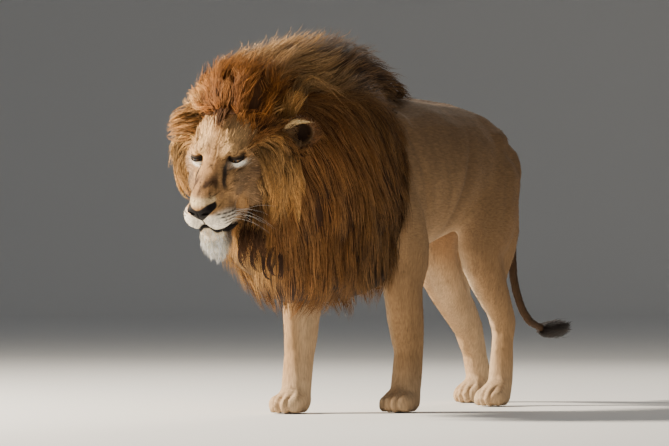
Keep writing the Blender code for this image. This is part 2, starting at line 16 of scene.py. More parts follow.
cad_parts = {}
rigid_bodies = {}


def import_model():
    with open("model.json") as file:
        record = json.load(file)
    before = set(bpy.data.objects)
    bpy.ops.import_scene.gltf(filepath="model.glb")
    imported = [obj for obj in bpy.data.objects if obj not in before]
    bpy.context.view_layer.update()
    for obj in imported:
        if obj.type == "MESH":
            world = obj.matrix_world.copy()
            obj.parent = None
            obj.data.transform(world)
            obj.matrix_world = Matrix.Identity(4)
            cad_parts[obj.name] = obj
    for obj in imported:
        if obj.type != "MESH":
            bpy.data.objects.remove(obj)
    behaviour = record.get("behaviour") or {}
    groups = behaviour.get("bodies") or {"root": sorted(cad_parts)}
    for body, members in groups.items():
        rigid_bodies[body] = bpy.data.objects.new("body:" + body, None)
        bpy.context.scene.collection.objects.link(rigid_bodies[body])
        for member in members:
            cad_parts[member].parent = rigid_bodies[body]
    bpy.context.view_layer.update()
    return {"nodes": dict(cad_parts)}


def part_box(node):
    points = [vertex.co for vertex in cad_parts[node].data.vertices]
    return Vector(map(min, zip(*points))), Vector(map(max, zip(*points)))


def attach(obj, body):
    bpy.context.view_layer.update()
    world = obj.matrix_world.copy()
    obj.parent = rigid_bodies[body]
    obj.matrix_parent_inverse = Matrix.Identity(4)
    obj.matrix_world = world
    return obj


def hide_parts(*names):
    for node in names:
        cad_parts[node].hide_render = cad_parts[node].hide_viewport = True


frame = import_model()
rng = np.random.default_rng(7)

SIDES = ("left", "right")
LEGS = [f"{n}_{s}" for s in SIDES for n in ("upper_arm", "forearm", "forepaw", "thigh", "shank", "hindfoot")]
MANE = [f"mane_{n}_{s}" for s in SIDES for n in ("ruff", "neck", "bib")]
EARS = [f"ear_{s}" for s in SIDES]
EYES = [f"eye_{s}" for s in SIDES]
FLESH = ["head", "lower_jaw", "nose", "neck", "trunk", "tail"] + LEGS
# How many tufts there are, how many guides and the locks that they are gathered into, and the
# points of each guide.
BODY_TUFTS, FACE_TUFTS, EAR_TUFTS, BEARD_TUFTS, TAIL_TUFTS = 11500, 16000, 2600, 560, 220
MANE_GUIDES, WISP_GUIDES, EDGE_GUIDES = 4300, 900, 420
MANE_LOCKS, WISP_LOCKS, EDGE_LOCKS = 1500, 600, 300
PATH_POINTS, MIDDLE = 9, 4


# --- Arithmetic on arrays of points ---


def vec(*v):
    return np.array(v)


def unit(v):
    return v / np.maximum(np.linalg.norm(v, axis=-1, keepdims=True), 1e-9)


def clamp(v):
    return np.clip(v, 0, 1)


def ramp(low, high, x):
    """0 at low, 1 at high and smooth between them. low may be the larger."""
    t = np.clip((x - low) / (high - low), 0.0, 1.0)
    return t * t * (3 - 2 * t)


def bump(x, centre, width):
    return np.exp(-(((x - centre) / width) ** 2))


def mix(a, b, t):
    t = np.asarray(t)[..., None]
    return np.asarray(a) * (1 - t) + np.asarray(b) * t


def layered(base, *layers):
    """Lays each colour or direction over the last, by its amount."""
    for value, amount in layers:
        base = mix(base, value, amount)
    return base


def columns(*parts):
    return np.stack(np.broadcast_arrays(*parts), 1)


def along_path(count=PATH_POINTS):
    return np.linspace(0, 1, count)[None, :, None]


def centre_of(node):
    low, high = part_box(node)
    return np.array((low + high) / 2)


def wobble(p, scale, seed):
    """A smooth value from about -1 to 1 that varies over space, made of a few slanting waves."""
    r = np.random.default_rng(seed)
    total = np.zeros(len(p))
    for _ in range(6):
        way = unit(r.normal(size=3)) * scale * r.uniform(0.6, 1.7)
        total += np.sin(p @ way + r.uniform(0, 6.28))
    return total / 3.2


# --- The head's axes ---
# x to the lion's right, y forward and z to the crown, from midway between the eyes.

NOSE_AHEAD, NOSE_BELOW = 0.173, 0.101
BROW = (centre_of("eye_left") + centre_of("eye_right")) / 2
between_eyes = centre_of("eye_right") - centre_of("eye_left")
X = unit(between_eyes)
to_nose = centre_of("nose") - BROW
to_nose = unit(to_nose - X * (to_nose @ X))
lean = math.atan2(-NOSE_BELOW, NOSE_AHEAD)
Y = unit(to_nose * math.cos(lean) - np.cross(X, to_nose) * math.sin(lean))
HEAD = np.stack([X, Y, np.cross(X, Y)])
EYE_X = np.linalg.norm(between_eyes) / 2
EYE_R = float(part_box("eye_left")[1].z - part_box("eye_left")[0].z) / 2

# Where the design's origin lies in the frame: the design has the brow at this place.
SHIFT = BROW - vec(-0.066, -1.277, 0.823)


def in_head(p):
    return (p - BROW) @ HEAD.T


def from_head(p):
    return np.asarray(p) @ HEAD + BROW


def at(x, y, z):
    """The frame's place for one of the design's."""
    return vec(x, y, z) + SHIFT


def above_legs(p):
    """True over the forelegs, parts of which lie as far forward as the face does."""
    return p[:, 2] > 0.45


# --- Meshes ---


def read(items, key, width=3, kind=float):
    values = np.empty(len(items) * width, kind)
    items.foreach_get(key, values)
    return values.reshape(-1, width) if width > 1 else values


def coords(mesh):
    return read(mesh.vertices, "co")


def normals(mesh):
    return read(mesh.vertices, "normal")


def put(mesh, co):
    mesh.vertices.foreach_set("co", np.ascontiguousarray(co, dtype=np.float32).ravel())
    mesh.update()


def shade_smooth(mesh):
    mesh.polygons.foreach_set("use_smooth", np.ones(len(mesh.polygons), bool))


def mesh_of(bm, name):
    mesh = bpy.data.meshes.new(name)
    bm.to_mesh(mesh)
    bm.free()
    return mesh


def new_object(name, data):
    made = bpy.data.objects.new(name, data)
    bpy.context.scene.collection.objects.link(made)
    return made


def fused(name, nodes, grow, voxel, rounds):
    """One closed skin round the nodes, which are first swollen by grow so that the cuts close."""
    whole = bmesh.new()
    for node_name in nodes:
        bm = bmesh.new()
        bm.from_mesh(frame["nodes"][node_name].data)
        bmesh.ops.remove_doubles(bm, verts=bm.verts, dist=1e-5)
        bmesh.ops.recalc_face_normals(bm, faces=bm.faces)
        bm.normal_update()
        for v in bm.verts:
            v.co += v.normal * grow
        part = mesh_of(bm, "part")
        whole.from_mesh(part)
        bpy.data.meshes.remove(part)
    obj = new_object(name, mesh_of(whole, name))
    step = obj.modifiers.new("fuse", "REMESH")
    step.mode = "VOXEL"
    step.voxel_size = voxel
    step = obj.modifiers.new("soften", "SMOOTH")
    step.factor = 0.5
    step.iterations = rounds
    bpy.context.view_layer.update()
    made = bpy.data.meshes.new_from_object(obj.evaluated_get(bpy.context.evaluated_depsgraph_get()))
    obj.modifiers.clear()
    obj.data = made
    return obj


def tree_of(obj):
    """A tree that finds the nearest place on the object's surface."""
    return BVHTree.FromPolygons([tuple(c) for c in coords(obj.data)],
                                [tuple(p.vertices) for p in obj.data.polygons])


def depth_in(tree, points):
    """Nearest place, its normal and the depth under the surface, for each point."""
    found = [tree.find_nearest(Vector(p)) for p in points]
    near, away = (np.array([hit[k] for hit in found]) for k in (0, 1))
    return near, away, ((near - points) * away).sum(1)


def set_colours(mesh, rgb):
    layer = mesh.color_attributes.new("coat", "FLOAT_COLOR", "POINT")
    rgba = np.ones((len(rgb), 4), np.float32)
    rgba[:, :3] = rgb
    layer.data.foreach_set("color", rgba.ravel())


def mount(piece, replaced=()):
    """Puts a piece on the body, and hides the nodes that it stands for."""
    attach(piece, "root")
    if replaced:
        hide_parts(*replaced)


def dress(piece, slot, rgb, replaced=(), **numbers):
    """Gives a piece the colours and numbers that its finish reads, and mounts it."""
    mesh = piece.data
    set_colours(mesh, rgb)
    for name, values in numbers.items():
        layer = mesh.attributes.new(name, "FLOAT", "POINT")
        layer.data.foreach_set("value", np.full(len(mesh.vertices), values, np.float32))
    shade_smooth(mesh)
    mount(piece, replaced)


# --- Markings: colour by place, the same for skin and coat ---

TAWNY = vec(0.305, 0.168, 0.075)
GREY_TAWNY = vec(0.180, 0.106, 0.055)
SANDY = vec(0.45, 0.275, 0.135)
CREAM = vec(0.74, 0.60, 0.42)
BLACK = vec(0.012, 0.009, 0.008)
UMBER = vec(0.050, 0.024, 0.012)


def mouth_z(x, y):
    """Height of the lips' line in the head's axes."""
    along = -0.184 + 0.27 * (np.minimum(y, 0.135) - 0.13)
    return along + 0.021 * (ramp(0.035, 0.006, np.abs(x)) * ramp(0.13, 0.155, y))


def body_colour(p):
    x, y, z = (p - SHIFT).T
    ax = np.abs(x)
    flecks = wobble(p, 150.0, 6) + 0.35 * wobble(p, 31.0, 7)
    base = layered(
        mix(SANDY, TAWNY, 0.55 + 0.35 * wobble(p, 4.0, 1)),
        (GREY_TAWNY, ramp(0.55, 0.95, z) * 0.80),
        # Spine, belly, inner legs and paws, and dark flecks low on the body.
        (UMBER * 2, ramp(0.05, 0.01, ax) * ramp(0.90, 0.98, z) * ramp(-0.35, -0.2, y) * 0.35),
        (CREAM, ramp(0.72, 0.58, z) * ramp(0.19, 0.06, ax) * ramp(-0.5, -0.3, y) * 0.25),
        (CREAM, ramp(0.55, 0.40, z) * ramp(0.14, 0.09, ax) * 0.45),
        (CREAM, ramp(0.20, 0.05, z) * 0.40),
        (SANDY, ramp(0.50, 0.20, z) * 0.5),
        (UMBER * 2, ramp(1.22, 1.40, flecks) * ramp(0.80, 0.45, z) * 0.35),
        # Painted shade in the fold before the thigh.
        (GREY_TAWNY * 0.8,
         bump(y, -0.075 + 0.30 * (z - 0.72), 0.035) * ramp(0.52, 0.66, z) * ramp(0.95, 0.80, z) * 0.5),
        # The tail, umber low down towards its tuft: partly its own colour, partly painted shade.
        (UMBER, (np.abs(x - 0.03) < 0.06) * ramp(0.84, 0.72, z) * (z > 0.2)
         * (y > 0.525) * ramp(0.80, 0.55, z) * 0.95))
    return base * (1 + 0.09 * wobble(p, 13.0, 2) + 0.06 * wobble(p, 45.0, 3))[:, None]


def near_line(h, points):
    """Distance of each place from a bent line, given on the lion's right and mirrored to its left."""
    q = h * np.where(h[:, :1] < 0, -1.0, 1.0) ** vec(1, 0, 0)
    best = np.full(len(h), 9.0)
    for a, b in zip(points, points[1:]):
        a, b = np.array(a), np.array(b)
        share = clamp(((q - a) @ (b - a)) / ((b - a) @ (b - a)))[:, None]
        best = np.minimum(best, np.linalg.norm(q - a - (b - a) * share, axis=1))
    return best


def chin_side_shade(h):
    """1 at the sides of the chin, where painted shade under the jaw darkens it."""
    return ramp(0.118, 0.070, h[:, 1] - 0.6 * np.abs(h[:, 0]))


TEAR_LINE = ((0.048, 0.012, 0.006), (0.0455, 0.048, -0.014), (0.048, 0.064, -0.030),
             (0.050, 0.083, -0.047), (0.054, 0.088, -0.070))


def face_colour(h):
    """Colour by place in the head's axes."""
    x, y, z = h.T
    ax = np.abs(x)
    grain = wobble(h * (1.0, 0.45, 0.45), 230.0, 8)
    mottle = ramp(-0.5, 0.6, wobble(h * (1.0, 0.7, 1.0), 170.0, 19) + 0.5 * grain)
    # Where the cheeks' painted shade lies.
    cheek = ramp(0.055, 0.085, ax) * ramp(0.00, -0.04, z)
    blotch = ramp(0.35, 1.0, wobble(h, 80.0, 18) + 0.4 * grain)
    across = bump(ax, 0.022, 0.028) * bump(z, -0.045, 0.022) * ramp(0.07, 0.10, y)
    above_nose = ramp(0.052, 0.040, ax) * bump(z, -0.0735, 0.0105) * ramp(0.13, 0.15, y)
    pad = ramp(0.035, 0.080, y) * ramp(-0.104, -0.128, z + 0.014 * ramp(0.14, 0.09, y))
    back_pad = pad * ramp(0.145, 0.085, y) * ramp(0.03, 0.06, ax)
    chin = ramp(-0.03, 0.05, y) * ramp(0.002, -0.010, z - mouth_z(x, y))
    base = layered(
        (0.47, 0.26, 0.105),
        # Paler brow and forehead and a browner bridge. The cheeks are painted darker and greyer as shade,
        # with dark mottling over them, and darker still towards their backs as painted shade.
        ((0.64, 0.40, 0.18), 0.75 * (bump(ax, 0.045, 0.035) * ramp(0.0, 0.03, z) * ramp(0.11, 0.07, z))),
        ((0.33, 0.17, 0.070), ramp(0.042, 0.022, ax) * ramp(-0.02, 0.05, y) * ramp(-0.13, -0.10, z) * 0.7),
        ((0.17, 0.10, 0.055), ramp(0.0, 0.8, wobble(h, 55.0, 9) + 0.5 * grain)
         * ramp(-0.02, 0.05, y) * ramp(0.01, -0.04, z) * 0.65),
        ((0.21, 0.130, 0.072), cheek * 0.75),
        ((0.085, 0.055, 0.036), blotch * cheek * ramp(0.13, 0.10, ax) * 0.65),
        ((0.13, 0.066, 0.030), ramp(0.085, 0.125, ax) * ramp(0.05, -0.05, z) * 0.7),
        # A dark mottled patch across the bridge, with a pale band between it and the nose.
        ((0.048, 0.022, 0.011), clamp(across * 1.7) * (0.22 + 0.78 * mottle) * 0.92),
        ((0.66, 0.49, 0.28), clamp(above_nose * 1.3) * 0.85),
        # White whisker pads, browner towards their backs, and a white chin whose sides are darkened as
        # painted shade under the jaw.
        ((0.90, 0.80, 0.65), pad * 0.97),
        ((0.25, 0.15, 0.078), clamp(back_pad * (0.70 + 0.25 * grain))),
        (CREAM * 1.12, chin),
        ((0.13, 0.080, 0.050), chin * chin_side_shade(h) * 0.9))
    # Rows of dark whisker spots, drawn out into streaks.
    spots = np.zeros(len(h))
    for row, (top, slope) in enumerate(((-0.120, 0.16), (-0.131, 0.14), (-0.142, 0.12), (-0.153, 0.10))):
        for k in range(7):
            sy = 0.160 - 0.0150 * k - 0.004 * row
            spots = np.maximum(spots, bump(y, sy, 0.0064) * bump(z, top - slope * (0.158 - sy), 0.0026))
        drawn = bump(z, top - slope * (0.158 - y), 0.0030) * ramp(0.160, 0.130, y) * ramp(0.03, 0.06, y)
        base = mix(base, (0.20, 0.11, 0.055), drawn * ramp(0.022, 0.040, ax) * 0.65)
    # Scars and dark flecks on the bridge and the cheek.
    flecks = np.zeros(len(h))
    marks = np.random.default_rng(5)
    for _ in range(46):
        cx, cz = marks.uniform(-0.045, 0.095), marks.uniform(-0.100, 0.045)
        turn = marks.uniform(-1.2, 1.2)
        u = (x + cx) * math.cos(turn) + (z - cz) * math.sin(turn)
        v = (z - cz) * math.cos(turn) - (x + cx) * math.sin(turn)
        flecks = np.maximum(flecks, bump(u, 0, marks.uniform(0.003, 0.009)) * bump(v, 0, 0.0021))
    ragged = near_line(h, TEAR_LINE) + 0.0014 * grain + 0.0016 * wobble(h, 140.0, 20)
    to_corner = ramp(0.140, 0.070, y)
    lip_z = mouth_z(x, y) - 0.0035 - 0.0030 * to_corner
    lip = bump(z, lip_z, 0.0075 + 0.0075 * to_corner) * ramp(-0.045, -0.02, y)
    furrows = wobble(h * (1.0, 0.25, 0.25), 150.0, 17) + 0.5 * grain
    base = layered(
        base,
        (BLACK * 2.0, clamp(spots * 1.3) * ramp(0.018, 0.032, ax) * 0.85),
        # Tear line, from the inner corner of the eye down beside the nose.
        ((0.080, 0.043, 0.024), ramp(0.020, 0.006, ragged) * ramp(-0.085, -0.050, z) * 0.5),
        (BLACK * 1.6, ramp(0.0095, 0.0035, ragged) * ramp(-0.085, -0.050, z) * 0.95),
        (UMBER, flecks * ramp(-0.03, 0.02, y) * 0.85),
        # Dark lips, widest towards the corner, and the cleft above them.
        (BLACK, clamp(lip * 1.8)),
        (BLACK * 1.5,
         bump(x, 0, 0.0030) * ramp(-0.120, -0.130, z) * ramp(-0.172, -0.164, z) * ramp(0.14, 0.16, y)),
        # Furrows of darker hair run up the forehead.
        ((0.23, 0.115, 0.045), ramp(0.25, 1.1, furrows) * ramp(0.005, 0.030, z) * 0.45))
    fine = wobble(h * (1.0, 0.5, 0.5), 520.0, 10)
    return base * (1 + 0.09 * wobble(h, 60.0, 4) + 0.16 * grain + 0.12 * fine)[:, None]


# Half the width of the eye's opening, and the way that it faces: outwards, forwards and up.
LID_HALF = 0.0185
LID_FACING = (0.30, 0.93, 0.06)


def eye_axes(side, facing):
    """Axes of the eye on a side: out to that side, up, and the way that it faces."""
    facing = unit(vec(side * facing[0], *facing[1:]))
    out = unit(vec(side * 1.0, 0, 0) - facing * (side * facing[0]))
    return out, np.cross(out, facing) * side, facing


def eye_plane(h, side):
    """Place round an eye: a outwards, b up and c out of the face, from the eye's centre."""
    q = h - vec(side * EYE_X, 0.0, 0.0)
    return [q @ axis for axis in eye_axes(side, LID_FACING)]


def lids(a, b):
    """How far b is over the upper lid's edge, and how far a place is outside the eye's opening."""
    t = np.clip(a / LID_HALF, -1, 1)
    arch = 1 - t * t
    slant = 0.0022 * t - 0.0015
    over = b - (slant + 0.0020 * arch)
    return over, np.maximum(np.maximum(over, slant - 0.0042 * arch - b), np.abs(a) - LID_HALF)


def skin_colour(p):
    h = in_head(p)
    face = ramp(-0.14, -0.10, h[:, 1]) * ramp(-0.34, -0.30, h[:, 2]) * above_legs(p)
    base = mix(body_colour(p), face_colour(h), face)
    for side in (1, -1):
        a, b, c = eye_plane(h, side)
        near = (np.hypot(a, b) < 0.034) & (c > 0)
        under = bump(a, 0.002, 0.019) * ramp(-0.030, -0.016, b) * ramp(-0.004, -0.008, b)
        lid = ramp(0.016, 0.011, b - 0.10 * a) * ramp(0.0, 0.004, b) * ramp(0.028, 0.021, np.abs(a))
        corner = bump(a, -0.021, 0.008) * bump(b, -0.002, 0.008) * near
        # A white patch under each eye. The black band over the upper lid is painted shade under the brow; the
        # lids' black rims are widened above as painted shade too; the inner corner is black.
        base = layered(base,
                       ((0.98, 0.94, 0.84), clamp(under * 2.0) * (c > -0.014)),
                       (BLACK * 1.4, lid * near * 0.88),
                       (BLACK, ramp(0.0058 + 0.0045 * (b > 0), 0.0030, lids(a, b)[1]) * near),
                       (BLACK, clamp(corner * 1.6)))
    return base


# --- The skin ---

GROW = 0.0025
skin = fused("skin", FLESH + EYES, grow=GROW, voxel=0.0085, rounds=5)


def relax(obj, chosen, rounds):
    """Evens out the chosen vertices among their neighbours."""
    mesh = obj.data
    a, b = read(mesh.edges, "vertices", 2, np.int64).T
    count = np.bincount(np.concatenate([a, b]), minlength=len(mesh.vertices))[:, None]
    co = coords(mesh)
    for _ in range(rounds):
        total = np.zeros_like(co)
        for axis in range(3):
            total[:, axis] = np.bincount(a, co[b, axis], len(co)) + np.bincount(b, co[a, axis], len(co))
        moved = co * 0.5 + 0.5 * total / np.maximum(count, 1)
        co = np.where(chosen[:, None], moved, co)
    put(mesh, co)


def refine(obj):
    """More faces on the face and the paws, and still more round the eyes, nose and mouth."""
    for k in range(3):
        p = coords(obj.data)
        x, y, z = in_head(p).T
        if k < 2:
            wanted = (y > -0.080 + 0.035 * k) & (z > -0.25) & (z < 0.10 - 0.02 * k)
            wanted |= (k == 0) & (p[:, 2] < 0.09)
        else:
            round_eyes = (np.hypot(np.abs(x) - EYE_X, z) < 0.036) & (y > -0.03)
            mouth = (z > -0.210) & (z < -0.170) & (y > 0.03)
            wanted = round_eyes | mouth | ((y > 0.115) & (z > -0.215))
        bm = bmesh.new()
        bm.from_mesh(obj.data)
        bm.verts.ensure_lookup_table()
        edges = [e for e in bm.edges if wanted[e.verts[0].index] and wanted[e.verts[1].index]]
        bmesh.ops.subdivide_edges(bm, edges=edges, cuts=1, use_grid_fill=True)
        bm.to_mesh(obj.data)
        bm.free()
        relax(obj, in_head(coords(obj.data))[:, 1] > -0.085 + 0.032 * k, 2)


def coat_depth(p):
    """How far under the solids' surface the skin lies."""
    h = in_head(p)
    _, y, z = (p - SHIFT).T
    face = ramp(-0.14, -0.08, h[:, 1]) * above_legs(p)
    depth = (0.0045 - 0.0022 * ramp(0.35, 0.12, z)) * (1 - 0.7 * (y > 0.50))
    depth = depth * (1 - face) + 0.0030 * face
    depth = depth - 0.0018 * ramp(0.02, 0.06, h[:, 1]) * face
    return depth + 0.018 * (ramp(-0.225, -0.25, h[:, 2]) * face)


def sculpt(h):
    """Moves the face's vertices, given in the head's axes, into lids, nostrils, lips and folds."""
    x, y, z = h.T
    ax, sign = np.abs(x), np.sign(x)
    new = h.copy()
    new_x, new_y, new_z = new.T
    for side in (1, -1):
        a, b, c = eye_plane(h, side)
        r = np.hypot(a, b)
        # The socket sinks round the ball, most towards the nose.
        floor = c - 0.0065 * bump(r, 0.024, 0.011) * (1 + 0.5 * ramp(0.0, -0.02, a))
        ball = np.sqrt(np.maximum((EYE_R + 0.0022) ** 2 - r * r, 0.0))
        lid = np.where(r < EYE_R + 0.002, ball, -1.0)
        joined = 0.5 * (floor + lid + np.sqrt((floor - lid) ** 2 + 0.003 ** 2))
        inside = ramp(EYE_R, EYE_R * 0.85, r)
        want = np.where(lid > 0, joined, floor) * (1 - inside) + lid * inside
        # The lids' edges stand a little proud, and the opening falls behind the ball's surface.
        over, off = lids(a, b)
        want = want + 0.0016 * bump(off, 0.0022, 0.0016)
        want = np.where(off < 0.0, np.sqrt(np.maximum(EYE_R ** 2 - r * r, 0.0)) - 0.0045, want)
        # Fold of the upper lid.
        want = want - 0.0020 * bump(over, 0.0085, 0.0016) * (r < 0.026)
        move = np.where((r < 0.040) & (c > -0.010), (want - c) * ramp(0.040, 0.032, r), 0.0)
        new += move[:, None] * eye_axes(side, LID_FACING)[2]
    # Brow: a ridge that overhangs each eye, and furrows between the two.
    brow = bump(ax, 0.060, 0.024) * bump(z, 0.024, 0.010) * ramp(-0.05, -0.02, y)
    new_y += 0.0070 * brow
    new_z -= 0.0030 * brow
    new_y -= 0.0022 * (bump(ax, 0.011, 0.0028) * bump(z, 0.020, 0.020) * ramp(-0.05, -0.02, y))
    # Nostrils: commas that open forwards and run back along the wings.
    u = (ax - 0.024) / 0.0115
    w = (z + 0.106 - 0.18 * (ax - 0.024)) / 0.0056
    new_y -= 0.0110 * np.sqrt(clamp(1.25 - (u * u + w * w)) * ramp(0.160, 0.170, y))
    slit = bump(z, -0.110 + 0.25 * (ax - 0.035), 0.0026) * bump(ax, 0.040, 0.009) * ramp(0.145, 0.155, y)
    new_x -= sign * 0.0035 * slit
    new_y -= 0.0035 * slit
    # Groove down the nose and the cleft of the upper lip.
    new_y -= 0.0028 * bump(x, 0, 0.0022) * ramp(-0.098, -0.106, z) * ramp(-0.168, -0.160, z) * (y > 0.13)
    # The edge between the bare pad and the hair.
    edge = bump(z, -0.081 - 0.012 * ramp(0.036, 0.0, ax), 0.0022) * ramp(0.042, 0.034, ax) * (y > 0.14)
    new_z -= 0.0012 * edge
    # Whisker pads swell either side of the cleft.
    new_y += 0.0050 * bump(ax, 0.028, 0.016) * bump(z, -0.146, 0.018) * (y > 0.11)
    new_x += sign * 0.0040 * bump(y, 0.12, 0.040) * bump(z, -0.140, 0.022) * ramp(0.02, 0.04, ax)
    # Mouth: the lips' line is a narrow furrow under the pads.
    below = z - mouth_z(x, y)
    gap = bump(below, 0, 0.0040) * ramp(-0.045, -0.020, y)
    chin = ramp(0.001, -0.006, below) * ramp(-0.060, -0.035, below) * ramp(0.03, 0.08, y)
    new += unit(columns(-x, -(y - 0.03), 0.0)) * (0.0085 * gap + 0.0045 * chin)[:, None]
    # Fold from the wing of the nose down behind the pad.
    fold = bump(ax, 0.058 + 0.25 * (z + 0.15), 0.0035) * bump(z, -0.125, 0.030) * ramp(0.03, 0.05, y)
    new_x -= sign * 0.0015 * fold
    return new


def body_hollows(p):
    """How far the body's skin sinks between its muscles, under the solids' even surface."""
    x, y, z = (p - SHIFT).T
    fold = bump(y, -0.075 + 0.30 * (z - 0.72), 0.028) * ramp(0.56, 0.66, z) * ramp(0.98, 0.80, z)
    ribs = 0.5 + 0.5 * np.sin((y + 0.35 * (z - 0.7)) * 105.0)
    ribs *= ramp(-0.45, -0.38, y) * ramp(-0.10, -0.16, y) * ramp(0.60, 0.70, z) * ramp(0.98, 0.86, z)
    blade = bump(y + 0.30 * (z - 0.75), -0.36, 0.022) * ramp(0.60, 0.72, z) * ramp(1.02, 0.90, z)
    haunch = bump(y - 0.35 * (z - 0.75), 0.235, 0.018) * ramp(0.60, 0.68, z) * ramp(0.90, 0.80, z)
    spine = bump(np.abs(x), 0.045, 0.016) * ramp(0.92, 1.0, z) * ramp(-0.30, -0.2, y)
    flank = 0.011 * fold + 0.0016 * ribs + 0.006 * blade + 0.005 * haunch
    return ramp(0.06, 0.12, np.abs(x)) * flank + 0.004 * spine


def toe_gaps(p):
    """How far the skin of the paws sinks between the toes."""
    depth = np.zeros(len(p))
    for paw in [n for n in LEGS if "paw" in n or "foot" in n]:
        low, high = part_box(paw)
        u = (p[:, 0] - (low.x + high.x) / 2) / ((high.x - low.x) / 2)
        ahead = p[:, 1] - low.y
        here = (np.abs(u) < 1.1) & (ahead > -0.02) & (ahead < 0.12)
        gaps = bump(u, -0.47, 0.10) + bump(u, 0.0, 0.09) + bump(u, 0.47, 0.10)
        depth += here * gaps * ramp(0.105, 0.055, ahead) * ramp(0.085, 0.055, p[:, 2]) * 0.0065
    return depth


def tendons(p):
    """Slight hollows along the lower legs, and an uneven surface over the muscles."""
    z = (p - SHIFT)[:, 2]
    low = ramp(0.50, 0.38, z) * ramp(0.06, 0.12, z)
    along = wobble(p * (1.0, 1.0, 0.22), 95.0, 31)
    return 0.0022 * low * along + 0.0024 * wobble(p * (1.0, 1.0, 0.7), 24.0, 32) * ramp(0.10, 0.20, z)


def nose_amount(h):
    """1 on the bare skin of the nose."""
    x, y, z = h.T
    ax = np.abs(x)
    dip = 0.012 * ramp(0.036, 0.0, ax)
    low = ramp(-0.142 + 0.86 * ax, -0.138 + 0.86 * ax, z)
    return ramp(-0.079 - dip, -0.083 - dip, z) * low * ramp(0.050, 0.046, ax) * ramp(0.140, 0.150, y)


refine(skin)
mesh = skin.data
places = coords(mesh)
body_part = 1 - ramp(-0.16, -0.12, in_head(places)[:, 1]) * above_legs(places)
sunk = coat_depth(places) + GROW + body_hollows(places) + body_part * np.maximum(tendons(places), -0.001)
places -= normals(mesh) * (sunk + toe_gaps(places))[:, None]
put(mesh, places)
relax(skin, in_head(places)[:, 1] > -0.02, 2)
places = coords(mesh)
head_places = in_head(places)
face_area = (head_places[:, 1] > -0.10) & above_legs(places)
places[face_area] = from_head(sculpt(head_places[face_area]))
places[:, 2] = np.maximum(places[:, 2], 0.0005)
put(mesh, places)
dress(skin, "short_fur", skin_colour(places), FLESH, bare=nose_amount(in_head(places)),
      upright=ramp(0.62, 0.48, places[:, 2]))
skin_tree = tree_of(skin)

# An unwrap of the skin's own shape, for the places of the tufts on their bake maps.
bpy.context.view_layer.objects.active = skin
skin.select_set(True)
skin.data.uv_layers.new(name="OFBake")
bpy.ops.object.mode_set(mode="EDIT")
bpy.ops.mesh.select_all(action="SELECT")
bpy.ops.uv.smart_project(angle_limit=1.15, island_margin=0.002, scale_to_bounds=True)
bpy.ops.object.mode_set(mode="OBJECT")
skin.select_set(False)
loop_uv = read(mesh.uv_layers["OFBake"].data, "uv", 2, np.float32)
face_start = read(mesh.polygons, "loop_start", 1, np.int64)
face_uv = (loop_uv[face_start] + loop_uv[face_start + 2]) / 2


def face_under(points):
    """The skin's face nearest to each point."""
    return np.array([skin_tree.find_nearest(Vector(p))[2] for p in points])


# --- Locks and tufts ---

BAKE_PATCH = 0.003


def scattered(mesh, count, weight):
    """Random places on a mesh, with their normals and faces. weight(points) thins them out."""
    mesh.calc_loop_triangles()
    tri = read(mesh.loop_triangles, "vertices", 3, np.int64)
    face = read(mesh.loop_triangles, "polygon_index", 1, np.int64)
    co = coords(mesh)
    a, b, c = (co[tri[:, k]] for k in range(3))
    area = np.linalg.norm(np.cross(b - a, c - a), axis=1) * weight((a + b + c) / 3)
    pick = rng.choice(len(tri), count, p=area / area.sum())
    u, v = rng.random(count), rng.random(count)
    turn = u + v > 1
    u[turn], v[turn] = 1 - u[turn], 1 - v[turn]
    w = columns(1 - u - v, u, v)[:, :, None]
    place = (co[tri[pick]] * w).sum(1)
    return place, unit((normals(mesh)[tri[pick]] * w).sum(1)), face[pick]


def axes_along(paths, up):
    """Directions beside and over each path, at all of its points."""
    along = unit(np.gradient(paths, axis=1))
    side = unit(np.cross(along, up[:, None]))
    return side, np.cross(side, along)


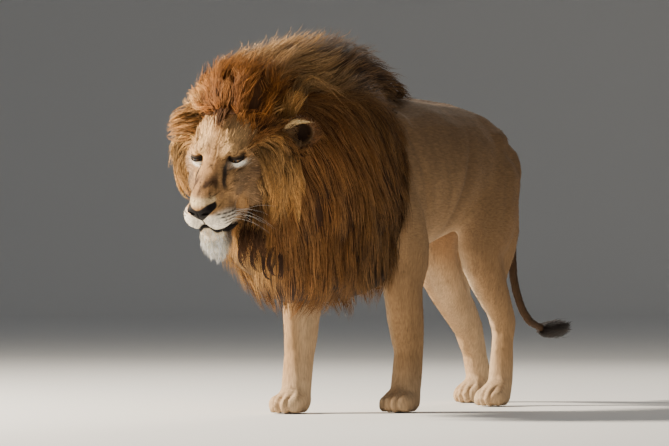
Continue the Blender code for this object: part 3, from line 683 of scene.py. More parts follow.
def build_locks(name, paths, up, half_width, thickness, colours, uv, replaced=(), soft=0.5):
    """Closed three-sided locks that taper to a point.

    paths is (n, k, 3), up (n, 3), half_width (n, k), colours (n, k, 3) and uv (n, 2). soft is
    how far their shading leans to that of the coat they lie in."""
    n, k, _ = paths.shape
    side, lift = axes_along(paths, up)
    rings = [paths + (side * math.cos(turn) + lift * math.sin(turn) * thickness) * half_width[:, :, None]
             for turn in map(math.radians, (30, 270, 150))]
    ring = np.stack(rings, 2)[:, : k - 1]
    block = (k - 1) * 3 + 1
    co = np.concatenate([ring.reshape(n, -1, 3), paths[:, -1:]], 1).reshape(-1, 3)
    tint = np.concatenate([np.repeat(colours[:, : k - 1], 3, 1), colours[:, -1:]], 1)
    turns = [(j, (j + 1) % 3) for j in range(3)]
    quads = [(3 * i + j, 3 * i + m, 3 * i + 3 + m, 3 * i + 3 + j) for i in range(k - 2) for j, m in turns]
    tris = [(2, 1, 0)] + [(3 * (k - 2) + j, 3 * (k - 2) + m, block - 1) for j, m in turns]
    base = (np.arange(n) * block)[:, None, None]
    quads = (np.array(quads)[None] + base).reshape(-1, 4)
    tris = (np.array(tris)[None] + base).reshape(-1, 3)
    mesh = bpy.data.meshes.new(name)
    mesh.vertices.add(len(co))
    mesh.vertices.foreach_set("co", co.astype(np.float32).ravel())
    loops = np.concatenate([quads.ravel(), tris.ravel()])
    mesh.loops.add(len(loops))
    mesh.loops.foreach_set("vertex_index", loops.astype(np.int32))
    starts = np.concatenate([np.arange(len(quads)) * 4, len(quads) * 4 + np.arange(len(tris)) * 3])
    mesh.polygons.add(len(starts))
    mesh.polygons.foreach_set("loop_start", starts.astype(np.int32))
    mesh.update(calc_edges=True)
    shade_smooth(mesh)
    set_colours(mesh, tint.reshape(-1, 3))
    row = np.concatenate([np.repeat(np.arange(k - 1), 3), [k - 1]]) / (k - 1)
    column = np.concatenate([np.tile([0.0, 0.5, 1.0], k - 1), [0.5]])
    patch = columns(column, row) * BAKE_PATCH
    corner = (uv[:, None, :] + patch[None]).reshape(-1, 2)[loops]
    layer = mesh.uv_layers.new(name="OFBake")
    layer.data.foreach_set("uv", corner.astype(np.float32).ravel())
    shading = unit(normals(mesh) * (1 - soft) + np.repeat(up, block, 0) * soft)
    mesh.normals_split_custom_set_from_vertices(shading.astype(np.float32))
    made = new_object(name, mesh)
    mount(made, replaced)
    return made


def taper(k, belly=0.35):
    """Half width along a lock, as a share of its widest, from root to tip."""
    t = np.linspace(0, 1, k)
    return np.clip((0.62 + 0.38 * np.sin(np.minimum(t / belly, 1) * np.pi / 2)) * (1 - t ** 2.4), 0.02, 1)


def short_tufts(name, place, normal, face, way, length, width, lie, colour, shade=0.08, clump=0.10):
    """Small tufts that lie along way on the skin, rooted just under it."""
    n = len(place)
    way = unit(way - normal * (way * normal).sum(1, keepdims=True))
    way = unit(way + np.cross(normal, way) * rng.normal(0, 0.16, n)[:, None])
    t = along_path(3)
    length = length[:, None, None]
    paths = (place[:, None] - normal[:, None] * 0.0015 + way[:, None] * length * t
             + normal[:, None] * length * (lie * (1.35 * t - 0.55 * t * t)))
    tone = np.exp(rng.normal(0, shade, n) + clump * wobble(place, 620.0, 33))[:, None, None]
    build_locks(name, paths, normal, width[:, None] * taper(3)[None], 0.55,
                colour[:, None] * (tone * (0.90 + 0.16 * t)), face_uv[face], soft=0.8)


# --- The lie of the short coat ---


def body_way(p):
    """The way that the short hair of body, legs and tail lies."""
    x, y, z = (p - SHIFT).T
    on_tail = ramp(0.48, 0.52, y) * (x > -0.05) * (z < 0.90) * (np.abs(x) < 0.2)
    on_tail = on_tail * (y > 0.47 + 0.62 * ramp(0.85, 0.30, z) * 0.25)
    hang = mix((0, 0.30, -0.95), (0, 1.0, -0.1), ramp(0.38, 0.28, z))
    return unit(layered((0, 1.0, -0.30),
                        ((0, 0.12, -1.0), ramp(0.66, 0.48, z)),
                        ((0, 0.35, -0.95), ramp(0.22, 0.42, y) * ramp(0.45, 0.60, z)),
                        ((0, -1.0, -0.35), ramp(0.10, 0.05, z)),
                        (hang, on_tail)))


def face_way(h):
    """The way that the face's hair lies, for places in the head's axes."""
    x, y, z = h.T
    ax, side = np.abs(x), np.sign(x)
    way = layered(columns(side * 0.12, -0.75, 0.62),
                  (columns(side * 0.35, -0.85, -0.40), ramp(0.035, 0.085, ax) * ramp(0.03, -0.02, z)),
                  (columns(side * 0.45 * ax / 0.06, -0.45, 0.85), ramp(0.02, 0.05, z) * 0.8),
                  (columns(side * 0.55, -0.80, -0.30), ramp(0.03, 0.07, y) * ramp(-0.095, -0.115, z)),
                  (columns(side * 0.15, -0.15, -1.0), ramp(-0.178, -0.195, z)))
    return unit(way) @ HEAD


def on_face(p):
    h = in_head(p)
    return (h[:, 1] > -0.115) & (h[:, 2] > -0.36) & above_legs(p)


mane_form = fused("mane_form", MANE + FLESH, grow=0.002, voxel=0.013, rounds=3)
mane_tree = tree_of(mane_form)
mat = fused("mane_mat", MANE, grow=0.002, voxel=0.014, rounds=4)
mat_tree = tree_of(mat)

# --- Ears ---
# e is a place in an ear's own axes: x across the cup, y out of it and z up.

EAR_COS, EAR_SIN = math.cos(math.radians(34)), math.sin(math.radians(34))
EAR_HALF_X, EAR_HALF_Z = 0.052, 0.046
EAR_OUT = (0.0, 1.0, 0.0)
ears = fused("ears", EARS, grow=0.0, voxel=0.0026, rounds=3)


def in_ear(p):
    """Places in the axes of the nearer ear, and which side that ear is on."""
    h = in_head(p)
    side = np.where(h[:, 0] > 0, 1.0, -1.0)
    right, left = (in_head(centre_of(n)[None])[0] for n in ("ear_right", "ear_left"))
    x, y, z = (h - np.where(side[:, None] > 0, right, left)).T
    t = side * EAR_SIN
    return columns((x * EAR_COS - y * t) * side, x * t + y * EAR_COS, z), side


def ear_way(e, side):
    """A direction in the ear's axes, turned into the frame's."""
    x, y, z = np.asarray(e).T
    across, t = x * side, side * EAR_SIN
    return columns(across * EAR_COS + y * t, y * EAR_COS - across * t, z) @ HEAD


def ear_radius(e):
    return np.hypot(e[:, 0] / EAR_HALF_X, e[:, 2] / EAR_HALF_Z)


def ear_colour(p, inward):
    e, _ = in_ear(p)
    r = ear_radius(e)
    back = mix(TAWNY * 0.8, UMBER, ramp(0.9, 0.5, r) * 0.8)
    # The cup is painted dark as shade, lighter towards its edge.
    cup_shade = mix(UMBER * 0.55, TAWNY * 0.7, ramp(0.70, 0.98, r))
    # Pale hair on the rim, kept to its upper front as a painted highlight.
    rim = ramp(0.86, 0.98, r) * ramp(-0.6, 0.3, e[:, 2] / EAR_HALF_Z + 0.5 * e[:, 0] / EAR_HALF_X)
    return layered(back, (cup_shade, inward), (CREAM * 0.62, rim * 0.6))


places = coords(ears.data)
e, side = in_ear(places)
facing = ear_way(EAR_OUT, side)
inward = ramp(0.1, 0.4, (normals(ears.data) * facing).sum(1))
put(ears.data, places - facing * (0.006 * inward * ramp(0.9, 0.4, ear_radius(e)))[:, None])
dress(ears, "short_fur", ear_colour(places, inward), EARS, upright=1.0, bare=0.0)

place, normal, _ = scattered(ears.data, EAR_TUFTS, lambda p: 1 + 2.5 * (ear_radius(in_ear(p)[0]) > 0.85))
e, side = in_ear(place)
inward = ramp(0.0, 0.3, (normal * ear_way(EAR_OUT, side)).sum(1))
way = ear_way(columns(e[:, 0] * 10, 0.15, e[:, 2] * 10 + 0.35), side)
size = (0.008 + 0.007 * ramp(0.7, 1.0, ear_radius(e))) * rng.uniform(0.7, 1.3, EAR_TUFTS)
short_tufts("coat_ears", place, normal, face_under(place), way, size, np.full(EAR_TUFTS, 0.0009), 0.3,
            ear_colour(place, inward))

# --- Short coat ---


def body_weight(p):
    bare = ramp(0.035, 0.015, depth_in(mane_tree, p)[2])
    return bare * ~on_face(p) * (1 + 0.9 * (p[:, 2] < 0.30)) + 1e-9


for number in range(2):
    place, normal, face = scattered(skin.data, BODY_TUFTS, body_weight)
    low = ramp(0.45, 0.10, place[:, 2])
    size = (0.022 - 0.011 * low) * rng.uniform(0.7, 1.25, BODY_TUFTS)
    thick = (0.0013 - 0.0005 * low) * rng.uniform(0.7, 1.2, BODY_TUFTS)
    short_tufts(f"coat_body_{number}", place, normal, face, body_way(place), size, thick, 0.15,
                body_colour(place))


def face_weight(p):
    h = in_head(p)
    bare = nose_amount(h)
    for side in (1, -1):
        a, b, c = eye_plane(h, side)
        bare = np.maximum(bare, ramp(0.0235, 0.0195, np.hypot(a, b * 1.5)) * (c > 0))
    lip = bump(h[:, 2], mouth_z(h[:, 0], h[:, 1]), 0.004) * (h[:, 1] > 0.0)
    return on_face(p) * clamp(1 - bare - lip) + 1e-9


place, normal, face = scattered(skin.data, FACE_TUFTS, face_weight)
h = in_head(place)
front = ramp(-0.10, 0.10, h[:, 1])
size = (0.018 - 0.0105 * front) * rng.uniform(0.7, 1.3, FACE_TUFTS)
size *= 1 + 0.9 * ramp(0.035, 0.075, h[:, 2]) + 0.5 * ramp(0.075, 0.10, np.abs(h[:, 0]))
thick = (0.00110 - 0.00045 * front) * rng.uniform(0.7, 1.2, FACE_TUFTS)
short_tufts("coat_face", place, normal, face, face_way(h), size, thick, 0.31, skin_colour(place), 0.36, 0.30)

# --- The mane ---

NECK_A, NECK_B = at(-0.06, -1.15, 0.86), at(0.0, -0.60, 0.82)
BACK, DOWN = vec(0.0, 1.0, 0.0), vec(0.0, 0.0, -1.0)
RED, ORANGE, BROWN = vec(0.130, 0.048, 0.013), vec(0.230, 0.080, 0.013), vec(0.050, 0.023, 0.009)
BLOND, FAWN = vec(0.520, 0.280, 0.095), vec(0.450, 0.265, 0.115)


def crown_amount(h):
    """1 where the tousled hair of the crown grows."""
    return ramp(0.02, 0.09, h[:, 2]) * ramp(-0.42, -0.24, h[:, 1])


def near_stand(h, width):
    """1 at the lock that stands up before the near ear."""
    return bump(np.linalg.norm(h - (-0.180, -0.190, 0.085), axis=1), 0, width)


def mane_way(p):
    """The way that mane hair runs at each place, from root to tip."""
    h = in_head(p)
    y = (p - SHIFT)[:, 1]
    share = clamp((p[:, 1] - NECK_A[1]) / (NECK_B[1] - NECK_A[1]))[:, None]
    round_neck = p - (NECK_A + (NECK_B - NECK_A) * share)
    round_neck[:, 1] = 0
    x, _, z = unit(round_neck).T
    crest = columns(x * 0.50, 0.80, 0.34 - 0.55 * ramp(-0.75, -0.40, y))
    rear = layered(columns(x * 0.12, 0.26, -0.95),
                   (crest, ramp(0.30, 0.85, z)),
                   (columns(x * 0.10, 0.06, -1.0), ramp(-0.45, -0.90, z)))
    away = h - (0.0, 0.0, -0.04)
    away[:, 1] = 0
    radial = unit(away) @ HEAD
    front = layered(radial * 0.36 + BACK * 0.16 + DOWN * 0.88,
                    (radial * 0.60 + BACK * 0.55 - DOWN * 0.15, ramp(0.0, 0.55, radial[:, 2])),
                    (columns(radial[:, 0] * 0.25, 0.02, -1.0), ramp(-0.35, -0.80, radial[:, 2])))
    way = unit(mix(front, rear, ramp(0.12, 0.34, -h[:, 1])))
    way = mix(way, (0.25, 0.20, 0.95), near_stand(h, 0.045) * 0.9)
    crown = crown_amount(h)[:, None]
    waves, curls = (columns(*(wobble(p, scale, seed + k) for k in range(3)))
                    for scale, seed in ((13.0, 11), (62.0, 14)))
    return unit(way + (0.17 + 0.28 * crown) * waves + (0.12 + 0.62 * crown) * curls)


def mane_colour(p, t):
    """Colour of mane hair whose tip is near p, t of the way from root to tip."""
    h = in_head(p)
    x, y, z = h.T
    ax, crown, mixed = np.abs(x), crown_amount(h), wobble(p, 260.0, 24)
    _, back, height = (p - SHIFT).T
    crest = ramp(1.02, 1.14, height) * ramp(-0.70, -0.84, back) * ramp(-0.20, -0.32, y)
    cheek = ramp(-0.20, -0.08, y) * ramp(0.250, 0.170, ax) * ramp(0.07, 0.00, z) * ramp(-0.31, -0.20, z)
    front = ramp(0.150, 0.080, ax) * ramp(-0.24, -0.30, z) * ramp(-0.08, 0.0, y)
    lit_far_front = ramp(0.02, 0.08, x) * ramp(-0.24, -0.13, y)
    # Painted shadow behind the corners of the mouth, under the jaw, with a ragged edge.
    ragged = z + 0.016 * wobble(p, 60.0, 25) + 0.008 * mixed
    jaw_shadow = ramp(0.026, 0.050, ax) * ramp(0.155, 0.110, ax) * ramp(-0.315, -0.255, ragged)
    jaw_shadow = jaw_shadow * ramp(-0.180, -0.200, z) * ramp(-0.08, -0.03, y)
    base = layered(
        RED,
        (BROWN, ramp(-1.00, -0.70, back) * 0.75),
        (FAWN, crest * 0.85),
        (ORANGE, crown * 0.85),
        # Painted light: the far side's hair behind the cheek is paler.
        (BLOND * 0.95, ramp(0.09, 0.15, x) * ramp(-0.22, -0.14, y) * 0.8),
        (BLOND, ramp(0.15, 0.85, cheek + 0.22 * mixed) * 0.70),
        # Blond hair low at the front, with painted light making the far side's front paler.
        (BLOND * 0.95, clamp(front + lit_far_front) * ramp(0.05, -0.02, z) * 0.85),
        # Painted shadow: behind the corners of the mouth the hair is darkened.
        (UMBER * 0.9, jaw_shadow * 0.92),
        (BLOND * 1.05, near_stand(h, 0.040) * 0.8),
        (UMBER * 1.5, ramp(0.50, 1.0, wobble(p, 42.0, 23)) * (0.35 + 0.25 * front)))
    base = base * (1 + 0.20 * wobble(p, 16.0, 21) + 0.12 * wobble(p, 45.0, 22))[:, None]
    return mix(base, BLOND, 0.30 * t * t * (1 - 0.75 * crown) * (1 - jaw_shadow)) * (0.42 + 0.80 * t)


def guides(tips, length, deep):
    """Paths traced back from their tips and kept a little under the mane's surface."""
    steps = PATH_POINTS - 1
    path = [tips]
    _, up, _ = depth_in(mane_tree, tips)
    for k in range(1, PATH_POINTS):
        here = path[-1] - mane_way(path[-1]) * (length / steps)[:, None]
        _, away, depth = depth_in(mane_tree, here)
        goal = deep * (k / steps) ** 1.3
        path.append(here - away * (np.clip(depth, goal, goal * 1.3 + 0.003) - depth)[:, None])
    return np.stack(path[::-1], 1), up


def gathered(path, up, count, pull, slide, low, high):
    """Draws neighbouring guides together at their tips into count larger locks."""
    tips = path[:, -1]
    middles = rng.choice(len(tips), min(count, len(tips)), replace=False)
    own = ((tips[:, None] - tips[middles][None]) ** 2).sum(2).argmin(1)
    shift = (tips[middles][own] - tips) * (pull * rng.uniform(0.5, 1.0, len(tips)))[:, None]
    along = unit(path[:, -1] - path[:, -3])
    shift += along * (rng.normal(0, slide, len(middles))[own] + rng.normal(0, slide / 3, len(tips)))[:, None]
    shift += up * rng.uniform(low, high, len(middles))[own][:, None]
    # The crown's locks fall to either side of their way, and cross each other.
    toss = rng.normal(0, 0.020, len(middles))[own] * crown_amount(in_head(tips))
    shift += unit(np.cross(along, up)) * toss[:, None]
    return path + shift[:, None] * along_path() ** 1.7, own


def clear_of_ears(path):
    """True for each path that stays out of the near ear's cup and the space before it."""
    e, side = in_ear(path.reshape(-1, 3))
    r = np.hypot((e[:, 0] - 0.012) / 0.030, (e[:, 2] - 0.004) / 0.031)
    inside = (r < 1.0) & (side < 0) & (e[:, 1] > -0.020) & (e[:, 1] < 0.09)
    return ~inside.reshape(path.shape[:2]).any(1)


def off_mane(p):
    """Distance from each point to the mane's own form."""
    return np.array([mat_tree.find_nearest(Vector(q))[3] for q in p])


def mane_weight(p):
    _, _, cover = depth_in(skin_tree, p)
    return ramp(0.005, 0.020, -cover) * (off_mane(p) < 0.012) * (1 + 0.6 * crown_amount(in_head(p))) + 1e-9


def edge_weight(p):
    """The shoulders and back just behind the mane, where its last hairs lie on the coat."""
    _, y, z = (p - SHIFT).T
    far = off_mane(p)
    return (far > 0.004) * ramp(0.060, 0.010, far) * (y > -0.75) * (z > 0.55) + 1e-9


def locks(name, path, up, own, children, root_spread, tip_spread, half_width, colour,
          replaced=(), wave=0.005, points=7, vary=0.13):
    """Turns each guide into several hairs that spread at the root and gather at the tip."""
    n, k, _ = path.shape
    side, lift = axes_along(path, up)
    m = n * children
    group = own.max() + 1
    tone = np.exp(rng.normal(0, vary, group))[own] * np.exp(rng.normal(0, 0.12, n))
    hue = rng.normal(0, 0.10, group)[own] + rng.normal(0, 0.05, n)
    phase = rng.uniform(0, 6.28, group)[own]
    turns = rng.uniform(0.8, 2.0, group)[own]
    path, side, lift, up, tone, hue, phase, turns = (
        np.repeat(v, children, 0) for v in (path, side, lift, up, tone, hue, phase, turns))
    angle, radius = rng.uniform(0, 2 * np.pi, m), np.sqrt(rng.random(m))
    t = np.linspace(0, 1, k)[None]
    # A few stray hairs stand further off than the rest.
    loose = np.where(rng.random(m) < 0.08, 3.2, 1.0)[:, None]
    spread = radius[:, None] * (root_spread * (1 - t) ** 1.2 + tip_spread * loose * (0.35 + 0.65 * t))
    phase = phase + rng.normal(0, 0.45, m)
    swing = wave * np.sin(phase[:, None] + turns[:, None] * 2 * np.pi * t) * t
    sway = wave * 0.8 * np.cos(phase[:, None] * 1.7 + turns[:, None] * 2 * np.pi * t) * t
    path = (path + side * (np.cos(angle)[:, None] * spread + swing)[..., None]
            + lift * (np.sin(angle)[:, None] * spread * 0.7 + sway * 0.6)[..., None])
    # Each hair ends at its own length, short of the guide's tip.
    reach = rng.uniform(0.70, 1.0, m)
    new_t = np.linspace(0, 1, points)
    at_guide = new_t[None] * reach[:, None] * (k - 1)
    i = np.minimum(at_guide.astype(int), k - 2)
    f = (at_guide - i)[..., None]
    rows = np.arange(m)[:, None]
    path = path[rows, i] * (1 - f) + path[rows, i + 1] * f
    tint = np.stack([colour(path[:, -1], s) for s in new_t], 1)
    tint = tint * (tone * np.exp(rng.normal(0, 0.24, m)))[:, None, None]
    tint = tint * columns(1 + 0.25 * hue, 1 + 0.6 * hue, 1 + 1.4 * hue)[:, None]
    width = half_width * rng.uniform(0.7, 1.25, m)[:, None] * taper(points)[None]
    uv = np.repeat(face_uv[face_under(path[::children, 0])], children, 0) + rng.uniform(-0.002, 0.002, (m, 2))
    return build_locks(name, path, up, width, 0.65, np.clip(tint, 0.003, 0.95), uv, replaced)


tips, _, _ = scattered(mane_form.data, MANE_GUIDES, mane_weight)
over_skin = -depth_in(skin_tree, tips)[2]
length = np.clip(0.045 + 1.5 * over_skin, 0.04, 0.27) * rng.uniform(0.8, 1.15, MANE_GUIDES)
length *= 1 - 0.52 * crown_amount(in_head(tips))
path, up = guides(tips, length, np.minimum(0.010 + 0.17 * length, over_skin * 0.8))
path, own = gathered(path, up, MANE_LOCKS, 0.36, 0.020, -0.007, 0.011)
hang = ramp(0.56, 0.42, (tips - SHIFT)[:, 2]) * rng.uniform(0.0, 0.035, MANE_GUIDES)
path = path + DOWN * hang[:, None, None] * along_path() ** 2
kept = clear_of_ears(path)
path, up, own, tips = path[kept], up[kept], own[kept], tips[kept]
order = np.argsort(tips[:, 1] + 0.15 * tips[:, 2])
for number, chosen in enumerate(np.array_split(order, 5)):
    locks(f"mane_{number}", path[chosen], up[chosen], own[chosen], 6 - (number > 2), 0.012, 0.0070,
          0.0013, mane_colour, replaced=MANE if number == 0 else (), points=6)

# Loose wisps that break the outline, most of them on the crest.
tips, _, _ = scattered(mane_form.data, WISP_GUIDES, lambda p: mane_weight(p) * (1 + 4 * (p[:, 2] > 1.02)))
high = ramp(1.0, 1.12, (tips - SHIFT)[:, 2])
path, up = guides(tips, rng.uniform(0.06, 0.15, WISP_GUIDES), np.full(WISP_GUIDES, 0.012))
path, own = gathered(path, up, WISP_LOCKS, 0.4, 0.02, 0.000, 0.020)
rise = (high * rng.uniform(0.0, 0.030, WISP_GUIDES))[:, None, None]
path = path + up[:, None] * rise * along_path() ** 2
kept = clear_of_ears(path)
locks("mane_wisps", path[kept], up[kept], own[kept], 2, 0.006, 0.0040, 0.0009,
      lambda p, t: mane_colour(p, t) * 1.3, wave=0.008, points=6)

# The last hairs behind the mane, which thin out over the coat.
tips, _, _ = scattered(mane_form.data, EDGE_GUIDES, edge_weight)
path, up = guides(tips, rng.uniform(0.07, 0.16, EDGE_GUIDES), np.full(EDGE_GUIDES, 0.010))
path, own = gathered(path, up, EDGE_LOCKS, 0.3, 0.012, 0.001, 0.010)
locks("mane_edge", path, up, own, 4, 0.010, 0.0060, 0.0009,
      lambda p, t: mix(mane_colour(p, t), body_colour(p) * 1.1, 0.25 + 0.3 * t), points=6)

# Bunches that are laid one by one: three points of each one's path, in the head's axes.


def bent(start, middle, end, jitter, count=1, shares=(0.7, 0.8, 1.0)):
    """Paths of count locks that bend from start past middle to end, spread by jitter's shares."""
    t = along_path()
    a, b, c = (np.array(p) + rng.normal(0, jitter, (count, 3)) * share
               for p, share in zip((start, middle, end), shares))
    b = 2 * b - (a + c) / 2
    return a[:, None] * (1 - t) ** 2 + 2 * b[:, None] * t * (1 - t) + c[:, None] * t * t


def bunch(name, paths, children, spread, half_width, colour, wave=0.003, over=None, vary=0.13):
    """Locks along paths given in the head's axes. over, if given, is their height over the mane."""
    own = np.repeat(np.arange(len(paths)), [len(p) for p in paths])
    path = from_head(np.concatenate(paths))
    _, up, _ = depth_in(skin_tree, path[:, MIDDLE])
    if over is not None:
        near, away, _ = depth_in(mane_tree, path.reshape(-1, 3))
        path = (near + away * np.tile(over, len(path))[:, None]).reshape(path.shape)
        up = away.reshape(path.shape)[:, MIDDLE]
    locks(name, path, up, own, children, spread, spread * 0.55, half_width, colour, wave=wave, vary=vary)


def plain(rgb, root, gain):
    """Colour of hair that brightens evenly from its root to its tip."""
    return lambda p, t: np.tile(rgb, (len(p), 1)) * (root + gain * t)


def ear_gold(p, t):
    """Colour of the hair over the far ear, paler where it hangs low."""
    lower = ramp(-0.02, -0.07, in_head(p)[:, 2])
    return mix((0.33, 0.135, 0.032), (0.58, 0.34, 0.13), 0.25 + 0.6 * lower) * (0.5 + 0.6 * t)


# Golden hair that sweeps out over the far ear, and the pale curl under it.
paths = [bent((0.075 + 0.05 * a, -0.125, 0.115 - 0.10 * b), (0.155 + 0.02 * a, -0.105, 0.105 - 0.085 * b),
              (0.225 + 0.022 * a, -0.150, 0.045 - 0.050 * b), 0.010) for a, b in rng.random((90, 2))]
paths += [bent((0.140, -0.120, 0.012), (0.214, -0.105, -0.030), (0.200, -0.110, -0.092), 0.004, 14),
          bent((0.145, -0.120, 0.005), (0.190, -0.105, -0.040), (0.170, -0.085, -0.095), 0.008, 16)]
bunch("mane_far", paths, 6, 0.006, 0.0012, ear_gold)

# Brown hair that comes to a point at the middle of the hairline.
paths = [bent((0.014 * a, -0.084, 0.126), (0.012 * a, -0.054, 0.112),
              (0.003 + 0.005 * a, -0.032, 0.086 - 0.024 * b), 0.0030)
         for a, b in columns(rng.normal(0, 1, 52), rng.random(52))]
bunch("mane_point", paths, 4, 0.003, 0.0009, plain((0.105, 0.042, 0.013), 0.6, 0.7))

# Dark locks that hook out from under the chin, each apart from the next, and brown hair among them, darkened
# as painted shade under the jaw.
HOOKS = (((-0.068, 0.040, -0.250), (-0.048, 0.056, -0.312), (-0.064, 0.058, -0.372)),
         ((-0.118, 0.032, -0.262), (-0.084, 0.054, -0.322), (-0.104, 0.050, -0.386)),
         ((-0.126, 0.036, -0.305), (-0.104, 0.036, -0.368), (-0.124, 0.020, -0.426)),
         ((-0.150, 0.030, -0.305), (-0.124, 0.028, -0.362), (-0.146, 0.010, -0.415)),
         ((-0.166, 0.010, -0.335), (-0.156, 0.012, -0.388), (-0.134, 0.000, -0.432)))
HUGGING = 0.020 * np.sin(np.linspace(0.0, 2.6, PATH_POINTS)) - 0.004
FLOWING = 0.014 * np.sin(np.linspace(0.0, 2.4, PATH_POINTS)) - 0.004
paths = [bent(*hook, 0.0034, 9, (1.6, 1.0, 0.4)) for hook in HOOKS]
bunch("mane_hooks", paths, 5, 0.0022, 0.0010, plain((0.028, 0.012, 0.006), 0.9, 0.5), 0.002, HUGGING)
paths = [bent((-0.050 - 0.085 * a, 0.035, -0.225 - 0.04 * b), (-0.045 - 0.085 * a, 0.045, -0.265 - 0.05 * b),
              (-0.056 - 0.085 * a, 0.040, -0.295 - 0.06 * b), 0.005) for a, b in rng.random((60, 2))]
bunch("mane_brown", paths, 5, 0.005, 0.0009, plain((0.065, 0.028, 0.011), 0.6, 0.9), 0.004, HUGGING)

# The ruff's golden locks hang beside the cheeks and end in points over the darker mane.
paths = []
for side in (-1, 1):
    for a, b in columns(rng.random(20), rng.random(20)):
        swing = 0.024 * math.sin(40.0 * b)
        paths.append(bent((side * (0.122 + 0.085 * a), -0.045 - 0.060 * a, 0.020 - 0.045 * a - 0.09 * b),
                          (side * (0.148 + 0.085 * a), -0.040 - 0.045 * a, -0.090 - 0.06 * b),
                          (side * (0.126 + 0.105 * a + swing), -0.015 - 0.055 * a, -0.155 - 0.12 * b + swing),
                          0.0060, 6, (2.2, 1.4, 0.5)))
bunch("mane_golden", paths, 5, 0.0050, 0.0010, plain((0.44, 0.225, 0.072), 0.30, 0.95), 0.008, FLOWING, 0.30)
paths = [bent((-0.188, -0.235, 0.078), (-0.188, -0.340 - 0.03 * b, 0.105), (-0.262, -0.400, 0.045 - 0.08 * a),
              0.016, 1, (1.0, 1.0, 1.3)) for a, b in rng.random((40, 2))]
bunch("mane_wave", paths, 4, 0.008, 0.0009, plain((0.34, 0.190, 0.075), 0.30, 0.95), 0.010, FLOWING)

# The golden lock that stands up before the near ear, and shorter ones beside it.
paths = [bent((-0.172 - 0.026 * a, -0.165, 0.058 + 0.012 * b),
              (-0.180 - 0.036 * a, -0.190, 0.100 + 0.012 * b),
              (-0.182 - 0.060 * a, -0.225, 0.118 + 0.046 * b), 0.008) for a, b in rng.random((40, 2))]
bunch("mane_stand", paths, 4, 0.008, 0.0010, plain((0.44, 0.215, 0.062), 0.30, 1.2), 0.009)

# Hair of the near ear, as rows of a name, a count, the ranges of its first angle, its sweep and its
# reach at either end, its lift and its colour: a pale crescent along the upper rim, partly a painted
# highlight, brown hair in the cup, darkened as painted shade, and brown hair round the ear.
EAR_HAIR = (("mane_ear_rim", 80, (95, 170), (40, 95), (0.80, 1.12), (0.85, 1.22), 0.006, (0.62, 0.42, 0.20)),
            ("mane_ear_hair", 130, (110, 260), (-35, 50), (0.85, 1.20), (0.0, 0.85), 0.009, TAWNY * 0.45),
            ("mane_ear_back", 110, (-70, 100), (-30, 45), (1.05, 1.45), (0.72, 1.05), 0.004,
             (0.150, 0.066, 0.024)))


def ear_arcs(count, first, sweep, start_reach, end_reach, lift):
    """Paths over the near ear's cup, each from one angle about its middle through its sweep."""
    first, sweep, start_reach, end_reach = (
        rng.uniform(*span, count)[:, None] for span in (first, sweep, start_reach, end_reach))
    t = np.linspace(0, 1, PATH_POINTS)[None]
    angle = np.radians(first - sweep * t)
    reach = start_reach * (1 - t) + end_reach * t
    e = np.stack([EAR_HALF_X * reach * np.cos(angle), lift + 0.010 * np.sin(np.pi * t) + 0 * angle,
                  EAR_HALF_Z * reach * np.sin(angle)], 2)
    return (centre_of("ear_left") + ear_way(e.reshape(-1, 3), -1.0)).reshape(e.shape)


arcs = [ear_arcs(*row[1:7]) for row in EAR_HAIR]
for row, path in zip(EAR_HAIR, arcs):
    up = unit(ear_way((0.0, 1.0, 0.3), np.full(len(path), -1.0)))
    locks(row[0], path, up, np.arange(len(path)), 3, 0.003, 0.0025, 0.0008, plain(row[7], 0.6, 0.5),
          wave=0.002)

# The matted hair under the locks.
places = coords(mat.data)
inset = np.minimum(0.030, np.maximum(-depth_in(skin_tree, places)[2], 0) * 0.6 + 0.004)
put(mat.data, places - normals(mat.data) * inset[:, None])
dress(mat, "mane_hair", mane_colour(coords(mat.data), 0.0) * 0.75, upright=1.0)
bpy.data.objects.remove(mane_form)

# --- Beard and tail tuft ---


def beard_weight(p):
    x, y, z = in_head(p).T
    under = z - mouth_z(x, y) + 0.010 * ramp(0.140, 0.070, y)
    return ramp(-0.004, -0.020, under) * ramp(0.02, 0.06, y) + 1e-9


def beard_colour(p, t):
    h = in_head(p)
    strand = 1 + 0.30 * wobble(h * (1.0, 1.0, 0.12), 420.0, 26)
    # White beard, darkened at the chin's sides as painted shade under the jaw.
    rgb = mix((0.95, 0.89, 0.78), (0.20, 0.125, 0.075), chin_side_shade(h) * 0.85)
    return rgb * ((0.44 + 0.62 * t) * strand)[:, None]


place, normal, _ = scattered(skin.data, BEARD_TUFTS, beard_weight)
h = in_head(place)
way = unit(columns(h[:, 0] * 5.0, 0.18, -1.0) @ HEAD)
length = (0.030 - 0.014 * ramp(-0.24, -0.19, h[:, 2])) * rng.uniform(0.35, 1.30, BEARD_TUFTS)
length = length[:, None, None]
t = along_path()
path = (place[:, None] - normal[:, None] * 0.003 + way[:, None] * length * t
        + normal[:, None] * length * 0.34 * (t - 0.5 * t * t) + DOWN * length * 0.20 * t * t)
locks("beard", path, normal, np.arange(len(path)) // 2, 6, 0.004, 0.0034, 0.00070, beard_colour,
      wave=0.004, points=5)

low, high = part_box("tail_tuft")
tuft_form = fused("tuft_form", ["tail_tuft"], grow=0.0, voxel=0.006, rounds=2)
place, normal, _ = scattered(tuft_form.data, TAIL_TUFTS, lambda p: np.ones(len(p)))
length = 0.06 + 0.06 * rng.random(TAIL_TUFTS)
root = place - vec(0.06, 1.0, 0.05) * length[:, None]
middle = columns((low.x + high.x) / 2, root[:, 1], (low.z + high.z) / 2)
root = middle + (root - middle) * 0.45
root[:, 1] = np.maximum(root[:, 1], low.y - 0.02)
path = root[:, None] * (1 - t) + place[:, None] * t + normal[:, None] * 0.010 * np.sin(np.pi * t)
tuft = locks("tail_locks", path, normal, np.arange(len(path)) // 3, 6, 0.008, 0.006, 0.0012,
             plain((0.022, 0.013, 0.009), 0.8, 0.8), replaced=["tail_tuft"],
             wave=0.006, points=6)
bpy.data.objects.remove(tuft_form)

# --- Whiskers ---

